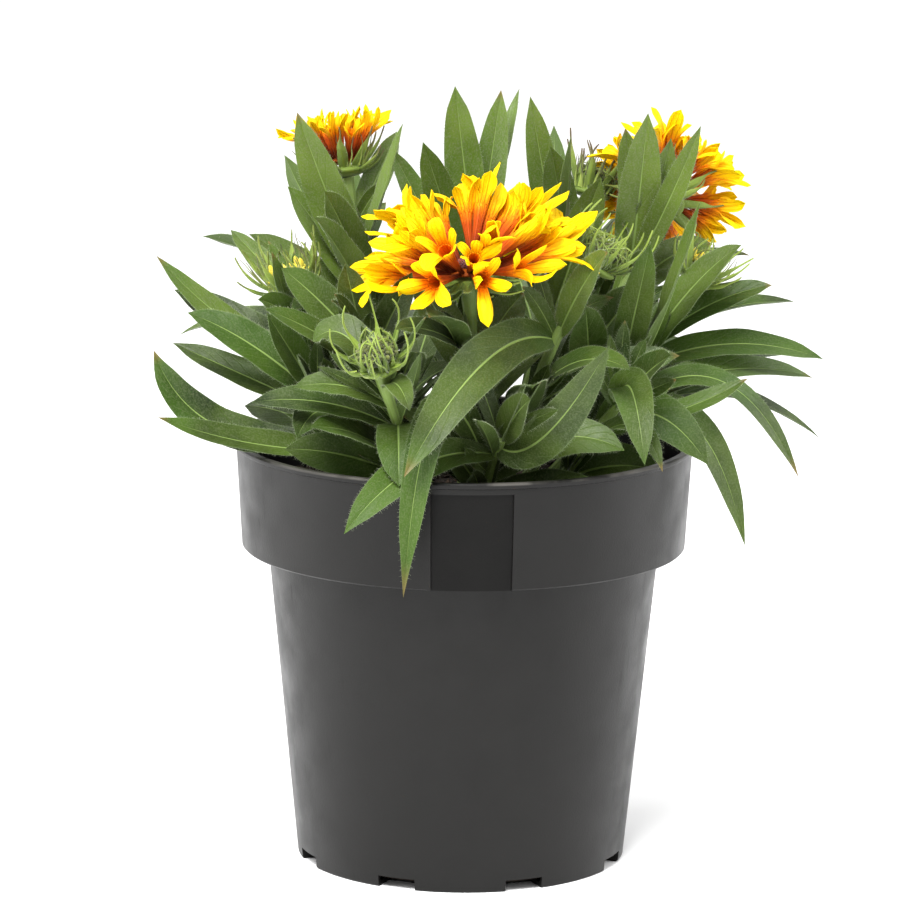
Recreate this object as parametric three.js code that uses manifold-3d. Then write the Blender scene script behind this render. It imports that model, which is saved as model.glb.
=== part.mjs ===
// A blanket flower plant (Gaillardia with trumpet-shaped ray florets) in a round nursery pot.
// Millimetres, +Z up. The origin is the middle of the pot's foot, on the ground; -Y is the plant's front.
import * as THREE from 'three';
import { mergeVertices } from 'three/addons/utils/BufferGeometryUtils.js';
import Module from 'manifold-3d';

const wasm = await Module();
wasm.setup();

// ---------------------------------------------------------------- driving dimensions

const POT = {
  height: 164,
  rimRadius: 89, // outside, at the top of the collar
  collarFootRadius: 85.7, // outside, at the foot of the collar
  collarHeight: 41.5,
  neckRadius: 75.6, // outside, just under the collar
  footRadius: 63.6,
  wall: 1.8,
  collarWall: 2.2,
  lip: 1, // how far the rim's bead stands out
  lipHeight: 2.4,
  floor: 2,
  collarStep: 0.6, // the throw-out's underside rises by this much
  collarStepInside: [1, 2.4], // the same step inside: its height at the wall and at the collar
  rimEdge: 0.3, // the rounding of the rim's outer edge
  sides: 34,
};
// The label panel sunk in the collar's front, from topGap under the rim and out through the collar's foot.
const PANEL = { width: 33, depth: 1.1, azimuth: -87, topGap: 4.4, runOut: 2 };
const DRAIN = { count: 8, width: 15, height: 4.5, inward: 11 }; // slots through the foot's corner
const SOIL = { top: 141, bump: 1.6, rings: 3, sides: 16, gap: 0.6 }; // its gap is to the pot's flat facets
// A stem is straight from buried mm under the soil's top to straight mm above it.
const STEM = {
  buried: 22, straight: 3.6, footRadius: 2.6, topRadius: 1.9, sides: 5, steps: 3, clearance: 0.5,
};
// The keel's depth under the blade, the base's share of the blade's width, how full its sides are, where less
// is fuller, and the places along it, from root to tip, where it has a section.
const BLADE = { keel: 1.2, baseShare: 0.2, fullness: 0.6, stations: [0, 0.2, 0.48, 0.8] };
const SEAT_GAP = 0.3; // between pieces that touch
// The leaves that the spiral rule adds: spread, rise and face in degrees, the rest in millimetres. Those
// rooted further back than behind have their faces turned backwards.
const FILL = {
  from: 0.14, spread: 230, rise: [12, 48], face: [10, 60],
  length: [58, 78], width: [14, 17.5], arch: [4, 9], behind: 15,
};

// ---------------------------------------------------------------- the plant's plan

// Each stem rises straight out of the soil at root [x, y], turns at bend and ends at top.
// Its leaves: [height up the stem, 0 to 1] [tip] [width, arch, face, reach]. Arch lifts the leaf's middle,
// face is how many degrees its upper side turns from looking up to looking forwards, and reach, 0 to 1, is
// where the arch lies. fill is how many further leaves the spiral rule adds, from low down to fillTop.
const SHOOTS = [
  {
    name: 'stem_front_right', root: [15, -24], bend: [21, -42, 190], top: [47, -37, 235], head: 'bud_right',
    leaves: [
      [0.72, [-22, -106, 170], [19, 16, 62, 0.45]],
      [0.74, [52, -74, 249], [14, 3, 50, 0.5]],
      [0.5, [61, -80, 206], [13, 8, 45, 0.5]],
    ],
    fill: 3, fillTop: 0.48,
  },
  {
    name: 'stem_front_low', root: [6, -38], bend: [8, -46, 158], top: [14, -62, 176], head: null,
    leaves: [
      [0.55, [-22, -103, 124], [14, 52, 80, 0.75]],
      [0.8, [-38, -114, 154], [15, 11, 50, 0.55]],
      [0.9, [53, -92, 217], [16.5, -12, 85, 0.35]],
      [0.5, [60, -62, 172], [17.5, 10, 55, 0.5]],
      [0.45, [-60, -58, 170], [17.5, 8, 55, 0.5]],
      [0.95, [24, -88, 196], [13, 2, 60, 0.5]],
      [0.15, [52, -64, 157], [15.5, 3, 60, 0.5]],
    ],
    fill: 1, fillTop: 0.4,
  },
  {
    name: 'stem_front_bud', root: [-9, -31], bend: [-23, -66, 172], top: [-31, -86, 206], head: 'bud_front',
    leaves: [
      [0.66, [-24, -94, 164], [16.5, 5, 50, 0.5]],
      [0.62, [-79, -78, 192], [11.5, 5, 45, 0.5]],
      [0.78, [-63, -84, 199], [11, 4, 45, 0.5]],
      [0.8, [-57, -62, 212], [15, 12, 35, 0.6]],
      [0.9, [-20, -112, 196], [9, 5, 50, 0.5]],
      [0.2, [-70, -44, 163], [17.5, 4, 60, 0.5]],
    ],
    fill: 2, fillTop: 0.5,
  },
  {
    name: 'stem_front', root: [3, -19], bend: [4, -46, 199], top: [1, -50, 231], head: 'bloom_front',
    leaves: [
      [0.64, [-29, -92, 223], [11.5, 4, 50, 0.5]],
      [0.5, [-19, -22, 229], [15, 3, 70, 0.5]],
      [0.56, [22, -30, 226], [15, 3, 70, 0.5]],
    ],
    fill: 3, fillTop: 0.57,
  },
  {
    name: 'stem_left_low', root: [-28, -25], bend: [-42, -32, 166], top: [-56, -36, 188], head: null,
    leaves: [
      [0.6, [-120, -34, 198], [15, -18, 45, 0.8]],
      [0.9, [-105, -34, 218], [15.5, 4, 50, 0.5]],
      [0.8, [-112, -10, 202], [14, 0, 35, 0.5]],
      [0.5, [-116, -54, 176], [12, -4, 38, 0.5]],
      [1, [-74, -58, 222], [13, 0, 50, 0.5]],
      [0.7, [-62, -84, 180], [14, 8, 50, 0.5]],
    ],
    fill: 2, fillTop: 0.4,
  },
  {
    name: 'stem_left_head', root: [-24, -11], bend: [-55, -17, 192], top: [-65, -21, 223], head: 'head_left',
    leaves: [
      [0.62, [-118, -12, 236], [13, -8, 30, 0.5]],
      [0.8, [-75, -46, 246], [10, -6, 40, 0.4]],
      [0.45, [-112, 0, 221], [16.5, 2, 40, 0.5]],
      [0.86, [-92, 2, 246], [10.5, 2, 30, 0.5]],
    ],
    fill: 3, fillTop: 0.5,
  },
  {
    name: 'stem_upper_left', root: [-14, 6], bend: [-40, 16, 216], top: [-47, 25, 261], head: 'bloom_left',
    leaves: [
      [0.62, [-65, -2, 290], [16.5, -3, 75, 0.5]],
      [0.55, [-54, -16, 262], [15.5, 3, 55, 0.5]],
      [0.5, [-69, 16, 259], [15, 2, 40, 0.5]],
      [0.46, [-64, -26, 250], [15.5, 4, 45, 0.5]],
      [0.7, [-25, 6, 285], [8, -2, 20, 0.5]],
      [0.42, [-84, 18, 240], [15, 4, 30, 0.5]],
      [0.8, [-26, 42, 277], [11, 0, 70, 0.5]],
    ],
    fill: 3, fillTop: 0.5,
  },
  {
    name: 'stem_top', root: [0, 18], bend: [2, 30, 205], top: [4, 36, 238], head: null,
    leaves: [
      [0.9, [-5, 27, 297], [15, -2, 80, 0.5]],
      [0.85, [13, 48, 293], [13, -2, 80, 0.5]],
      [0.95, [20, 60, 292], [8, -2, 10, 0.5]],
      [0.7, [-17, 6, 278], [14, 0, 80, 0.5]],
      [0.6, [-30, 34, 272], [11.5, 2, 60, 0.5]],
      [0.6, [-8, 78, 262], [15.5, 4, -40, 0.5]],
      [0.55, [30, 84, 250], [15.5, 6, -40, 0.5]],
      [0.45, [10, -8, 236], [16.5, 2, 70, 0.5]],
    ],
    fill: 2, fillTop: 0.5,
  },
  {
    name: 'stem_upper_right', root: [11, 10], bend: [36, 24, 214], top: [47, 30, 253], head: 'bud_upper',
    leaves: [
      [0.66, [24, 14, 295], [13, -2, 80, 0.5]],
      [0.6, [34, 64, 277], [12, 0, -60, 0.5]],
      [0.55, [39, -10, 283], [8, -2, 20, 0.5]],
      [0.75, [33, 6, 279], [13, 0, 75, 0.5]],
      [0.5, [52, -4, 270], [15.5, 0, 70, 0.5]],
      [0.5, [74, 62, 254], [15.5, 4, -30, 0.5]],
    ],
    fill: 2, fillTop: 0.5,
  },
  {
    name: 'stem_right_bloom', root: [22, 3], bend: [69, -6, 240], top: [74, 13, 253], head: 'bloom_right',
    leaves: [
      [0.58, [68, -24, 294], [16.5, -4, 75, 0.5]],
      [0.66, [77, -20, 284], [13, -4, 75, 0.5]],
      [0.6, [90, -34, 291], [10, -3, 60, 0.5]],
      [0.7, [60, -8, 286], [11.5, 0, 70, 0.5]],
      [0.62, [96, 44, 254], [15.5, 4, -20, 0.5]],
    ],
    fill: 3, fillTop: 0.5,
  },
  {
    name: 'stem_right_head', root: [26, -10], bend: [66, -10, 194], top: [86, -6, 226], head: 'head_right',
    leaves: [
      [0.6, [105, -26, 245], [15, 5, 40, 0.5]],
      [0.52, [87, -48, 264], [10.5, -8, 25, 0.5]],
      [0.68, [117, -6, 226], [13, 4, 36, 0.5]],
      [0.72, [127, 16, 216], [10.5, 4, 20, 0.5]],
      [0.55, [138, 2, 196], [15, 8, 36, 0.5]],
      [0.42, [136, 28, 194], [12, 6, 30, 0.5]],
      [0.46, [72, -44, 251], [13, 0, 60, 0.5]],
    ],
    fill: 2, fillTop: 0.36,
  },
  {
    name: 'stem_right_low', root: [30, -22], bend: [46, -33, 170], top: [62, -42, 190], head: null,
    leaves: [
      [0.6, [92, -48, 164], [17.5, 14, 60, 0.5]],
      [0.5, [108, -22, 127], [13, 35, 45, 0.7]],
      [0.75, [131, 22, 186], [13, 10, 40, 0.5]],
      [0.7, [107, -22, 190], [11, -4, 20, 0.5]],
      [0.65, [139, 28, 160], [10, 16, 30, 0.5]],
      [0.5, [121, 14, 145], [11.5, 34, 30, 0.6]],
      [0.85, [67, -80, 170], [15, 18, 60, 0.5]],
      [0.9, [70, -66, 213], [13, 2, 50, 0.5]],
      [0.3, [74, -72, 166], [9, 18, 40, 0.7]],
      [0.2, [74, -40, 160], [17.5, 4, 60, 0.5]],
    ],
    fill: 1, fillTop: 0.3,
  },
  {
    name: 'stem_left_middle', root: [-18, -38], bend: [-28, -42, 178], top: [-38, -46, 208], head: null,
    leaves: [
      [0.95, [-69, -50, 238], [15, 2, 65, 0.5]],
      [0.85, [-76, -62, 225], [11.5, 2, 45, 0.5]],
      [1, [-46, -62, 240], [13, 0, 70, 0.5]],
      [0.9, [-20, -70, 240], [12, 0, 70, 0.5]],
    ],
    fill: 2, fillTop: 0.6,
  },
  {
    name: 'stem_back_left', root: [-16, 27], bend: [-36, 48, 186], top: [-48, 68, 222], head: null,
    leaves: [
      [0.7, [-104, 62, 232], [15.5, 6, -20, 0.5]],
      [0.6, [-62, 118, 218], [15.5, 10, -30, 0.5]],
      [0.8, [-72, 66, 264], [14, 0, -50, 0.5]],
      [0.5, [-112, 44, 196], [16.5, 12, 10, 0.5]],
      [0.95, [-46, 100, 256], [13, 0, -60, 0.5]],
    ],
    fill: 3, fillTop: 0.7,
  },
  {
    name: 'stem_back_right', root: [16, 28], bend: [42, 48, 184], top: [56, 66, 214], head: null,
    leaves: [
      [0.9, [78, 84, 258], [15, 0, -50, 0.5]],
      [0.8, [112, 66, 226], [15.5, 8, -20, 0.5]],
      [0.7, [60, 122, 208], [16.5, 12, -30, 0.5]],
      [0.95, [42, 92, 246], [13, 0, -60, 0.5]],
      [0.4, [97, 52, 146], [13, 26, 0, 0.6]],
    ],
    fill: 3, fillTop: 0.7,
  },
  {
    name: 'stem_back', root: [0, 38], bend: [0, 62, 178], top: [-2, 82, 206], head: null,
    leaves: [
      [0.9, [-16, 132, 214], [15.5, 8, -30, 0.5]],
      [0.8, [22, 128, 190], [16.5, 14, -30, 0.5]],
      [1, [-8, 96, 246], [14, 0, -60, 0.5]],
      [0.6, [-40, 116, 160], [16.5, 26, -20, 0.6]],
    ],
    fill: 2, fillTop: 0.7,
  },
];

// The flower heads. Core is the receptacle's radius. Bracts are rows of [count, length, width, rise, curl],
// rise in degrees above the head's own plane and curl in degrees from root to tip. Rays are rows of
// [count, length, rise].
const HEADS = {
  bloom_front: {
    core: 10, bracts: [[8, 20, 4.4, -4, 30], [5, 14, 3.4, -34, 70]], disc: 3.4,
    rays: { rows: [[9, 37, 8], [8, 37, 38], [5, 38, 64]], mouth: 8.4, throat: 2.8, bend: 8, lobes: 5 },
  },
  bloom_right: {
    core: 9.5, bracts: [[8, 19, 4.4, 10, 20], [5, 14, 3.4, -14, 40]], disc: 3,
    rays: { rows: [[10, 26.5, 8], [7, 25, 32], [3, 23, 60]], mouth: 6.4, throat: 2.5, bend: 6, lobes: 4 },
  },
  bloom_left: {
    core: 9, bracts: [[8, 20, 4.4, 34, 24], [5, 17, 3.4, 12, 60]], disc: 1.8,
    rays: { rows: [[10, 22, 54], [6, 20, 68], [3, 18, 82]], mouth: 3.7, throat: 1.7, bend: -4, lobes: 4 },
  },
  head_left: {
    core: 9, bracts: [[9, 22, 3.6, 38, 46], [5, 17, 3, 14, 60]],
    florets: { rows: [[7, 7, 66], [3, 6, 80]], width: 3.6 },
  },
  head_right: {
    core: 7.6, bracts: [[8, 19, 3.2, 42, 34], [4, 18, 3, 8, 50]],
    florets: { rows: [[6, 7, 66], [2, 6, 80]], width: 3.2 },
  },
  bud_front: { core: 7.6, bracts: [[8, 23, 2.6, 16, 84], [5, 12, 2.6, 64, 40]], dome: 5.4 },
  bud_right: { core: 8.6, bracts: [[9, 24, 2.6, 30, 80], [5, 14, 2.6, 68, 36]], dome: 6 },
  bud_upper: { core: 8.2, bracts: [[7, 21, 3.8, 56, 14], [4, 16, 3, 76, 10]], dome: 6 },
};

// What meets a neighbour is bent clear of it, by the first of these ways that does. A leaf: [turn about
// the upright, rise, share of the length kept]. A bract or floret: [turn about the head's axis, rise].
// In degrees.
const LEAF_BENDS = [
  [0, 0, 1], [4, 0, 1], [-4, 0, 1], [0, 4, 1], [0, -4, 1], [7, 4, 1], [-7, 4, 1], [7, -4, 1], [-7, -4, 1],
  [0, 8, 1], [0, -8, 1], [11, 0, 1], [-11, 0, 1], [11, 7, 1], [-11, 7, 1], [14, -6, 0.95], [-14, -6, 0.95],
  [0, 13, 1], [18, 4, 0.95], [-18, 4, 0.95], [0, -13, 0.95], [18, 12, 0.9], [-18, 12, 0.9], [25, 0, 0.9],
  [-25, 0, 0.9], [25, 15, 0.85], [-25, 15, 0.85], [35, 6, 0.8], [-35, 6, 0.8], [48, 10, 0.8],
  [-48, 10, 0.8],
];
const HEAD_BENDS = [
  [0, 0], [0, 6], [0, -6], [7, 0], [-7, 0], [7, 7], [-7, 7], [7, -7], [-7, -7], [0, 13], [0, -13], [12, 5],
  [-12, 5], [0, 20], [0, -20], [15, 14], [-15, 14], [0, 28], [0, -28], [18, -15], [-18, -15], [0, 36],
  [0, -36],
];

// ---------------------------------------------------------------- helpers

const UP = new THREE.Vector3(0, 0, 1);
const degrees = THREE.MathUtils.degToRad;
const at = (x, y, z) => new THREE.Vector3(x, y, z);

const outwards = (heading) => at(Math.cos(heading), Math.sin(heading), 0);

// The direction of something that leaves the axis at heading and rises at an angle in degrees.
const rising = (heading, angle) => outwards(heading).multiplyScalar(Math.cos(degrees(angle)))
  .add(at(0, 0, Math.sin(degrees(angle))));

// A seeded source of numbers from 0 to 1, the same on every run.
function seeded(seed) {
  let state = seed >>> 0;
  return () => {
    state = (state * 1664525 + 1013904223) >>> 0;
    return state / 4294967296;
  };
}

function toSolid(geometry) {
  const bare = new THREE.BufferGeometry();
  bare.setAttribute('position', geometry.getAttribute('position'));
  bare.setIndex(geometry.getIndex());
  const merged = mergeVertices(bare, 1e-4);
  return new wasm.Manifold(new wasm.Mesh({
    numProp: 3,
    vertProperties: new Float32Array(merged.attributes.position.array),
    triVerts: new Uint32Array(merged.index.array),
  }));
}

function toGeometry(solid) {
  const mesh = solid.getMesh();
  const geometry = new THREE.BufferGeometry();
  geometry.setAttribute('position', new THREE.BufferAttribute(new Float32Array(mesh.vertProperties), 3));
  geometry.setIndex(new THREE.BufferAttribute(new Uint32Array(mesh.triVerts), 1));
  geometry.computeVertexNormals();
  return geometry;
}

const join = (solids) => solids.reduce((all, one) => all.add(one));

// A closed solid from points and triangles, turned to face out.
function closed(points, triangles) {
  let volume = 0;
  for (const [a, b, c] of triangles) {
    volume += points[a].dot(points[b].clone().cross(points[c]));
  }
  const facing = volume < 0 ? triangles.map(([a, b, c]) => [a, c, b]) : triangles;
  const geometry = new THREE.BufferGeometry().setFromPoints(points);
  geometry.setIndex(facing.flat());
  return geometry;
}

// A closed solid through rings of as many points each, from a flat first ring to a tip. The far half of the
// sides is split the other way, so that a thin blade's two faces have their diagonals alike.
function loft(rings, tip) {
  const count = rings[0].length;
  const points = rings.flat();
  const triangles = [];
  for (let side = 1; side < count - 1; side++) triangles.push([0, side + 1, side]);
  for (let ring = 0; ring < rings.length - 1; ring++) {
    for (let side = 0; side < count; side++) {
      const a = ring * count + side;
      const b = ring * count + (side + 1) % count;
      const [c, d] = [b + count, a + count];
      if (side < count / 2) triangles.push([a, b, c], [a, c, d]);
      else triangles.push([a, b, d], [b, c, d]);
    }
  }
  const last = (rings.length - 1) * count;
  if (tip) {
    points.push(tip);
    for (let side = 0; side < count; side++) {
      triangles.push([last + side, last + (side + 1) % count, points.length - 1]);
    }
  } else {
    for (let side = 1; side < count - 1; side++) triangles.push([last, last + side, last + side + 1]);
  }
  return closed(points, triangles);
}

// A round section: count points of radius round centre, square to direction.
function circle(centre, direction, radius, count) {
  const across = Math.abs(direction.z) > 0.9 ? at(1, 0, 0) : UP;
  const u = direction.clone().cross(across).normalize();
  const v = direction.clone().cross(u).normalize();
  return Array.from({ length: count }, (_, k) => {
    const angle = (2 * Math.PI * k) / count;
    return centre.clone()
      .addScaledVector(u, radius * Math.cos(angle)).addScaledVector(v, radius * Math.sin(angle));
  });
}

// ---------------------------------------------------------------- pot and soil

function turnedProfile(points, sides) {
  return toSolid(new THREE.LatheGeometry(points.map(([r, z]) => new THREE.Vector2(r, z)), sides))
    .rotate([90, 0, 0]); // a lathe turns about Y
}

function box(width, depth, height, x, y, z) {
  const geometry = new THREE.BoxGeometry(width, depth, height);
  geometry.translate(x, y, z);
  return toSolid(geometry);
}

function pot() {
  const collarFoot = POT.height - POT.collarHeight;
  const collarTop = POT.rimRadius - POT.lip;
  const lipFoot = POT.height - POT.lipHeight;
  const [stepAtWall, stepAtCollar] = POT.collarStepInside;
  const shell = turnedProfile([
    [0, 0], [POT.footRadius, 0],
    [POT.neckRadius, collarFoot - POT.collarStep], [POT.collarFootRadius, collarFoot],
    [collarTop, lipFoot], [POT.rimRadius, lipFoot + POT.lip / 2],
    [POT.rimRadius - POT.rimEdge, POT.height], [collarTop - POT.collarWall, POT.height],
    [POT.collarFootRadius - POT.collarWall, collarFoot + stepAtCollar],
    [POT.neckRadius - POT.wall, collarFoot + stepAtWall],
    [POT.footRadius - POT.wall, POT.floor], [0, POT.floor],
  ], POT.sides);
  // The label panel: the collar's outside is cut back by the panel's depth between two uprights.
  const [panelFoot, panelTop] = [collarFoot - PANEL.runOut, POT.height - PANEL.topGap];
  const reach = POT.rimRadius * 1.5; // well outside the pot
  const outer = turnedProfile([
    [POT.collarFootRadius - PANEL.depth, panelFoot], [reach, panelFoot], [reach, panelTop],
    [collarTop - PANEL.depth, panelTop], [POT.collarFootRadius - PANEL.depth, panelFoot],
  ], POT.sides);
  const cutter = box(reach, PANEL.width, POT.height, reach / 2, 0, POT.height / 2)
    .rotate([0, 0, PANEL.azimuth]).intersect(outer);
  let made = shell.subtract(cutter);
  for (let k = 0; k < DRAIN.count; k++) {
    const turn = ((k + 0.5) * 360) / DRAIN.count;
    const slot = box(DRAIN.inward * 2, DRAIN.width, DRAIN.height * 2, POT.footRadius, 0, 0);
    made = made.subtract(slot.rotate([0, 0, turn]));
  }
  return made;
}

// The stem's centre line: straight out of the soil, then one curve to the top. Height 0 is the soil's top.
function stemLine(shoot) {
  const [x, y] = shoot.root;
  return new THREE.QuadraticBezierCurve3(at(x, y, SOIL.top), at(...shoot.bend), at(...shoot.top));
}

const stemRadius = (height) => THREE.MathUtils.lerp(STEM.footRadius, STEM.topRadius, height);

function stem(shoot) {
  const line = stemLine(shoot);
  const [x, y] = shoot.root;
  const rings = [circle(at(x, y, SOIL.top - STEM.buried), UP, STEM.footRadius, STEM.sides)];
  for (let k = 0; k <= STEM.steps; k++) {
    const height = k / STEM.steps;
    const centre = line.getPoint(height).add(at(0, 0, k === 0 ? STEM.straight : 0));
    rings.push(circle(centre, k === 0 ? UP : line.getTangent(height), stemRadius(height), STEM.sides));
  }
  return toSolid(loft(rings));
}

function soil() {
  const { lerp } = THREE.MathUtils;
  const random = seeded(11);
  const { top } = SOIL;
  const collarFoot = POT.height - POT.collarHeight;
  const foot = POT.floor + SEAT_GAP;
  const stepTop = collarFoot + POT.collarStepInside[1] + SOIL.gap;
  const bevel = 6; // the fill is drawn in from the pot's inner corner by this much
  const wallHeight = collarFoot + POT.collarStepInside[0] - POT.floor;
  const wallAt = (z) => (
    lerp(POT.footRadius, POT.neckRadius, (z - POT.floor) / wallHeight) - POT.wall - SOIL.gap);
  const collarAt = (z) => (
    lerp(POT.collarFootRadius, POT.rimRadius - POT.lip, (z - collarFoot) / POT.collarHeight)
      - POT.collarWall - SOIL.gap);
  const profile = [
    [0, foot], [wallAt(foot) - bevel / 2, foot], [wallAt(bevel), foot + bevel],
    [wallAt(collarFoot), collarFoot], [wallAt(collarFoot), stepTop],
    [collarAt(collarFoot), stepTop], [collarAt(top), top],
  ];
  const reach = collarAt(top) / (SOIL.rings + 0.5);
  for (let k = SOIL.rings; k >= 1; k--) profile.push([reach * k, top]);
  profile.push([0, top]);
  const geometry = new THREE.LatheGeometry(profile.map(([r, z]) => new THREE.Vector2(r, z)), SOIL.sides);
  const position = geometry.getAttribute('position');
  const bumps = new Map();
  for (let k = 0; k < position.count; k++) {
    const [x, y, z] = [position.getX(k), position.getY(k), position.getZ(k)];
    const key = `${Math.round(x * 10)} ${Math.round(z * 10)}`;
    if (y < top) continue;
    if (!bumps.has(key)) bumps.set(key, (random() * 2 - 1) * SOIL.bump);
    position.setY(k, y + bumps.get(key));
  }
  let made = toSolid(geometry).rotate([90, 0, 0]);
  for (const shoot of SHOOTS) {
    const [x, y] = shoot.root;
    const hole = loft([SOIL.top - STEM.buried - SEAT_GAP, SOIL.top + STEM.buried].map((z) => (
      circle(at(x, y, z), UP, STEM.footRadius + STEM.clearance, STEM.sides))));
    made = made.subtract(toSolid(hole));
  }
  return made;
}

// ---------------------------------------------------------------- leaves

// The share of the full width at a place along the blade: a clasping base, full sides and a blunt tip.
function outline(along) {
  const swell = Math.pow(Math.sin(Math.PI * along), BLADE.fullness);
  return along < 0.5 ? BLADE.baseShare + (1 - BLADE.baseShare) * swell : swell;
}

// The leaf as bent: its root, its tip and the curve between them.
function bladeLine(root, leaf, [turn, rise, kept]) {
  const chord = at(...leaf.tip).sub(root).applyAxisAngle(UP, degrees(turn));
  const flat = Math.hypot(chord.x, chord.y);
  const angle = Math.atan2(chord.z, flat) + degrees(rise);
  const length = chord.length() * kept;
  const heading = Math.atan2(chord.y, chord.x);
  const tip = at(
    root.x + length * Math.cos(angle) * Math.cos(heading),
    root.y + length * Math.cos(angle) * Math.sin(heading),
    root.z + length * Math.sin(angle),
  );
  const arch = root.clone().lerp(tip, leaf.reach).add(at(0, 0, 2 * leaf.arch));
  return new THREE.QuadraticBezierCurve3(root.clone(), arch, tip);
}

// The upper face's direction at a place on the line: square to the line, and between up and forwards.
function bladeNormal(line, along, face) {
  const direction = line.getTangent(along);
  const wanted = at(0, -Math.sin(degrees(face)), Math.cos(degrees(face)));
  return wanted.addScaledVector(direction, -wanted.dot(direction)).normalize();
}

// A blade with a flat upper face and a keel under its middle.
function blade(line, leaf, { from = 0, grow = 0 } = {}) {
  const rings = BLADE.stations.map((station) => {
    const along = from + (1 - from) * station;
    const normal = bladeNormal(line, along, leaf.face);
    const side = line.getTangent(along).cross(normal).normalize();
    const half = (outline(along) * leaf.width) / 2 + grow;
    const face = line.getPoint(along).addScaledVector(normal, grow);
    return [
      face.clone().addScaledVector(side, -half), face.clone().addScaledVector(side, half),
      line.getPoint(along).addScaledVector(normal, -BLADE.keel - grow),
    ];
  });
  return toSolid(loft(rings, line.getPoint(1)));
}

// The further leaves of a shoot, in the spiral in which its leaves stand, leaning out from the pot's middle.
function fillLeaves(shoot, number) {
  const random = seeded(100 + number);
  return Array.from({ length: shoot.fill }, (_, k) => {
    const height = FILL.from + ((shoot.fillTop - FILL.from) * (k + 0.5)) / shoot.fill;
    const base = stemLine(shoot).getPoint(height);
    const spiral = ((number * 67 + k * 137.5) % 360) / 360 - 0.5;
    const heading = Math.atan2(base.y, base.x) + degrees(FILL.spread * spiral);
    const length = THREE.MathUtils.lerp(...FILL.length, random());
    const rise = THREE.MathUtils.lerp(...FILL.rise, random());
    return {
      height,
      tip: rising(heading, rise).multiplyScalar(length).add(base).toArray(),
      width: THREE.MathUtils.lerp(...FILL.width, random()),
      arch: THREE.MathUtils.lerp(...FILL.arch, random()),
      face: (base.y > FILL.behind ? -1 : 1) * THREE.MathUtils.lerp(...FILL.face, random()),
      reach: 0.5,
    };
  });
}

const namedLeaves = (shoot) => shoot.leaves.map(([height, tip, [width, arch, face, reach]]) => (
  { height, tip, width, arch, face, reach }));

// ---------------------------------------------------------------- keeping clear

const CLEARANCE = 0.4; // a blade, bract or floret is this much bigger each way while it is tried
const TIP_SHARE = 0.3; // pieces of one node may meet below this share of their length, where they join

const asObstacle = (solid, shoot = null) => ({ solid, shoot, box: solid.boundingBox() });
const apart = (a, b) => [0, 1, 2].some((axis) => a.max[axis] < b.min[axis] || b.max[axis] < a.min[axis]);

function meets(solid, others) {
  const bounds = solid.boundingBox();
  return others.some((other) => !apart(bounds, other.box) && !solid.intersect(other.solid).isEmpty());
}

// The first way of bending that clears the strangers, and its own node's other pieces too where one does.
function settle(make, ways, strangers, sisters) {
  let second;
  for (const way of ways) {
    if (meets(make(way, { grow: CLEARANCE }), strangers)) continue;
    if (!meets(make(way, { grow: CLEARANCE, from: TIP_SHARE }), sisters)) return way;
    second ??= way;
  }
  return second;
}

// ---------------------------------------------------------------- flower heads
// Each is drawn in its own frame: +Z is its axis, and its origin is the top of its stem.

const CALYX_HEIGHT = 5;
const CORE_HEIGHT = 3;
const BRACT_ROW_HEIGHTS = [3.8, 1.8];
const CORE_SHARE = 0.7; // the florets' core, as a share of the receptacle's radius
const ROOT_SHARES = [0.84, 0.64, 0.42]; // where a row of florets is rooted, as a share of the core's radius
const CORE_SIDES = 10;
const DISC_SIDES = 12;
const SPUR_STATIONS = [0, 0.3, 0.62]; // where a bract or young floret has a section, from root to tip

// A slender bract or young floret: three-sided, rising at rise degrees and curling by curl degrees.
function spur(piece, [turn, lift], { from = 0, grow = 0 } = {}) {
  const { start, heading, rise, length, width, curl, keel } = piece;
  const facing = heading + degrees(turn);
  const angleAt = (along) => rise + lift + curl * along;
  const pointAt = (along) => {
    const steps = 8;
    const place = start.clone();
    for (let k = 0; k < steps; k++) {
      place.addScaledVector(rising(facing, angleAt((along * (k + 0.5)) / steps)), (length * along) / steps);
    }
    return place;
  };
  const side = outwards(facing + Math.PI / 2);
  const rings = SPUR_STATIONS.map((station) => {
    const along = from + (1 - from) * station;
    const normal = rising(facing, angleAt(along) + 90);
    const half = (width / 2) * (1 - 0.25 * Math.exp(-20 * along) - 0.75 * along * along);
    const upper = pointAt(along).addScaledVector(normal, 0.5 + grow);
    return [
      upper.clone().addScaledVector(side, -half - grow), upper.clone().addScaledVector(side, half + grow),
      pointAt(along).addScaledVector(normal, -0.5 - half * keel - grow),
    ];
  });
  return toSolid(loft(rings, pointAt(1)));
}

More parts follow.
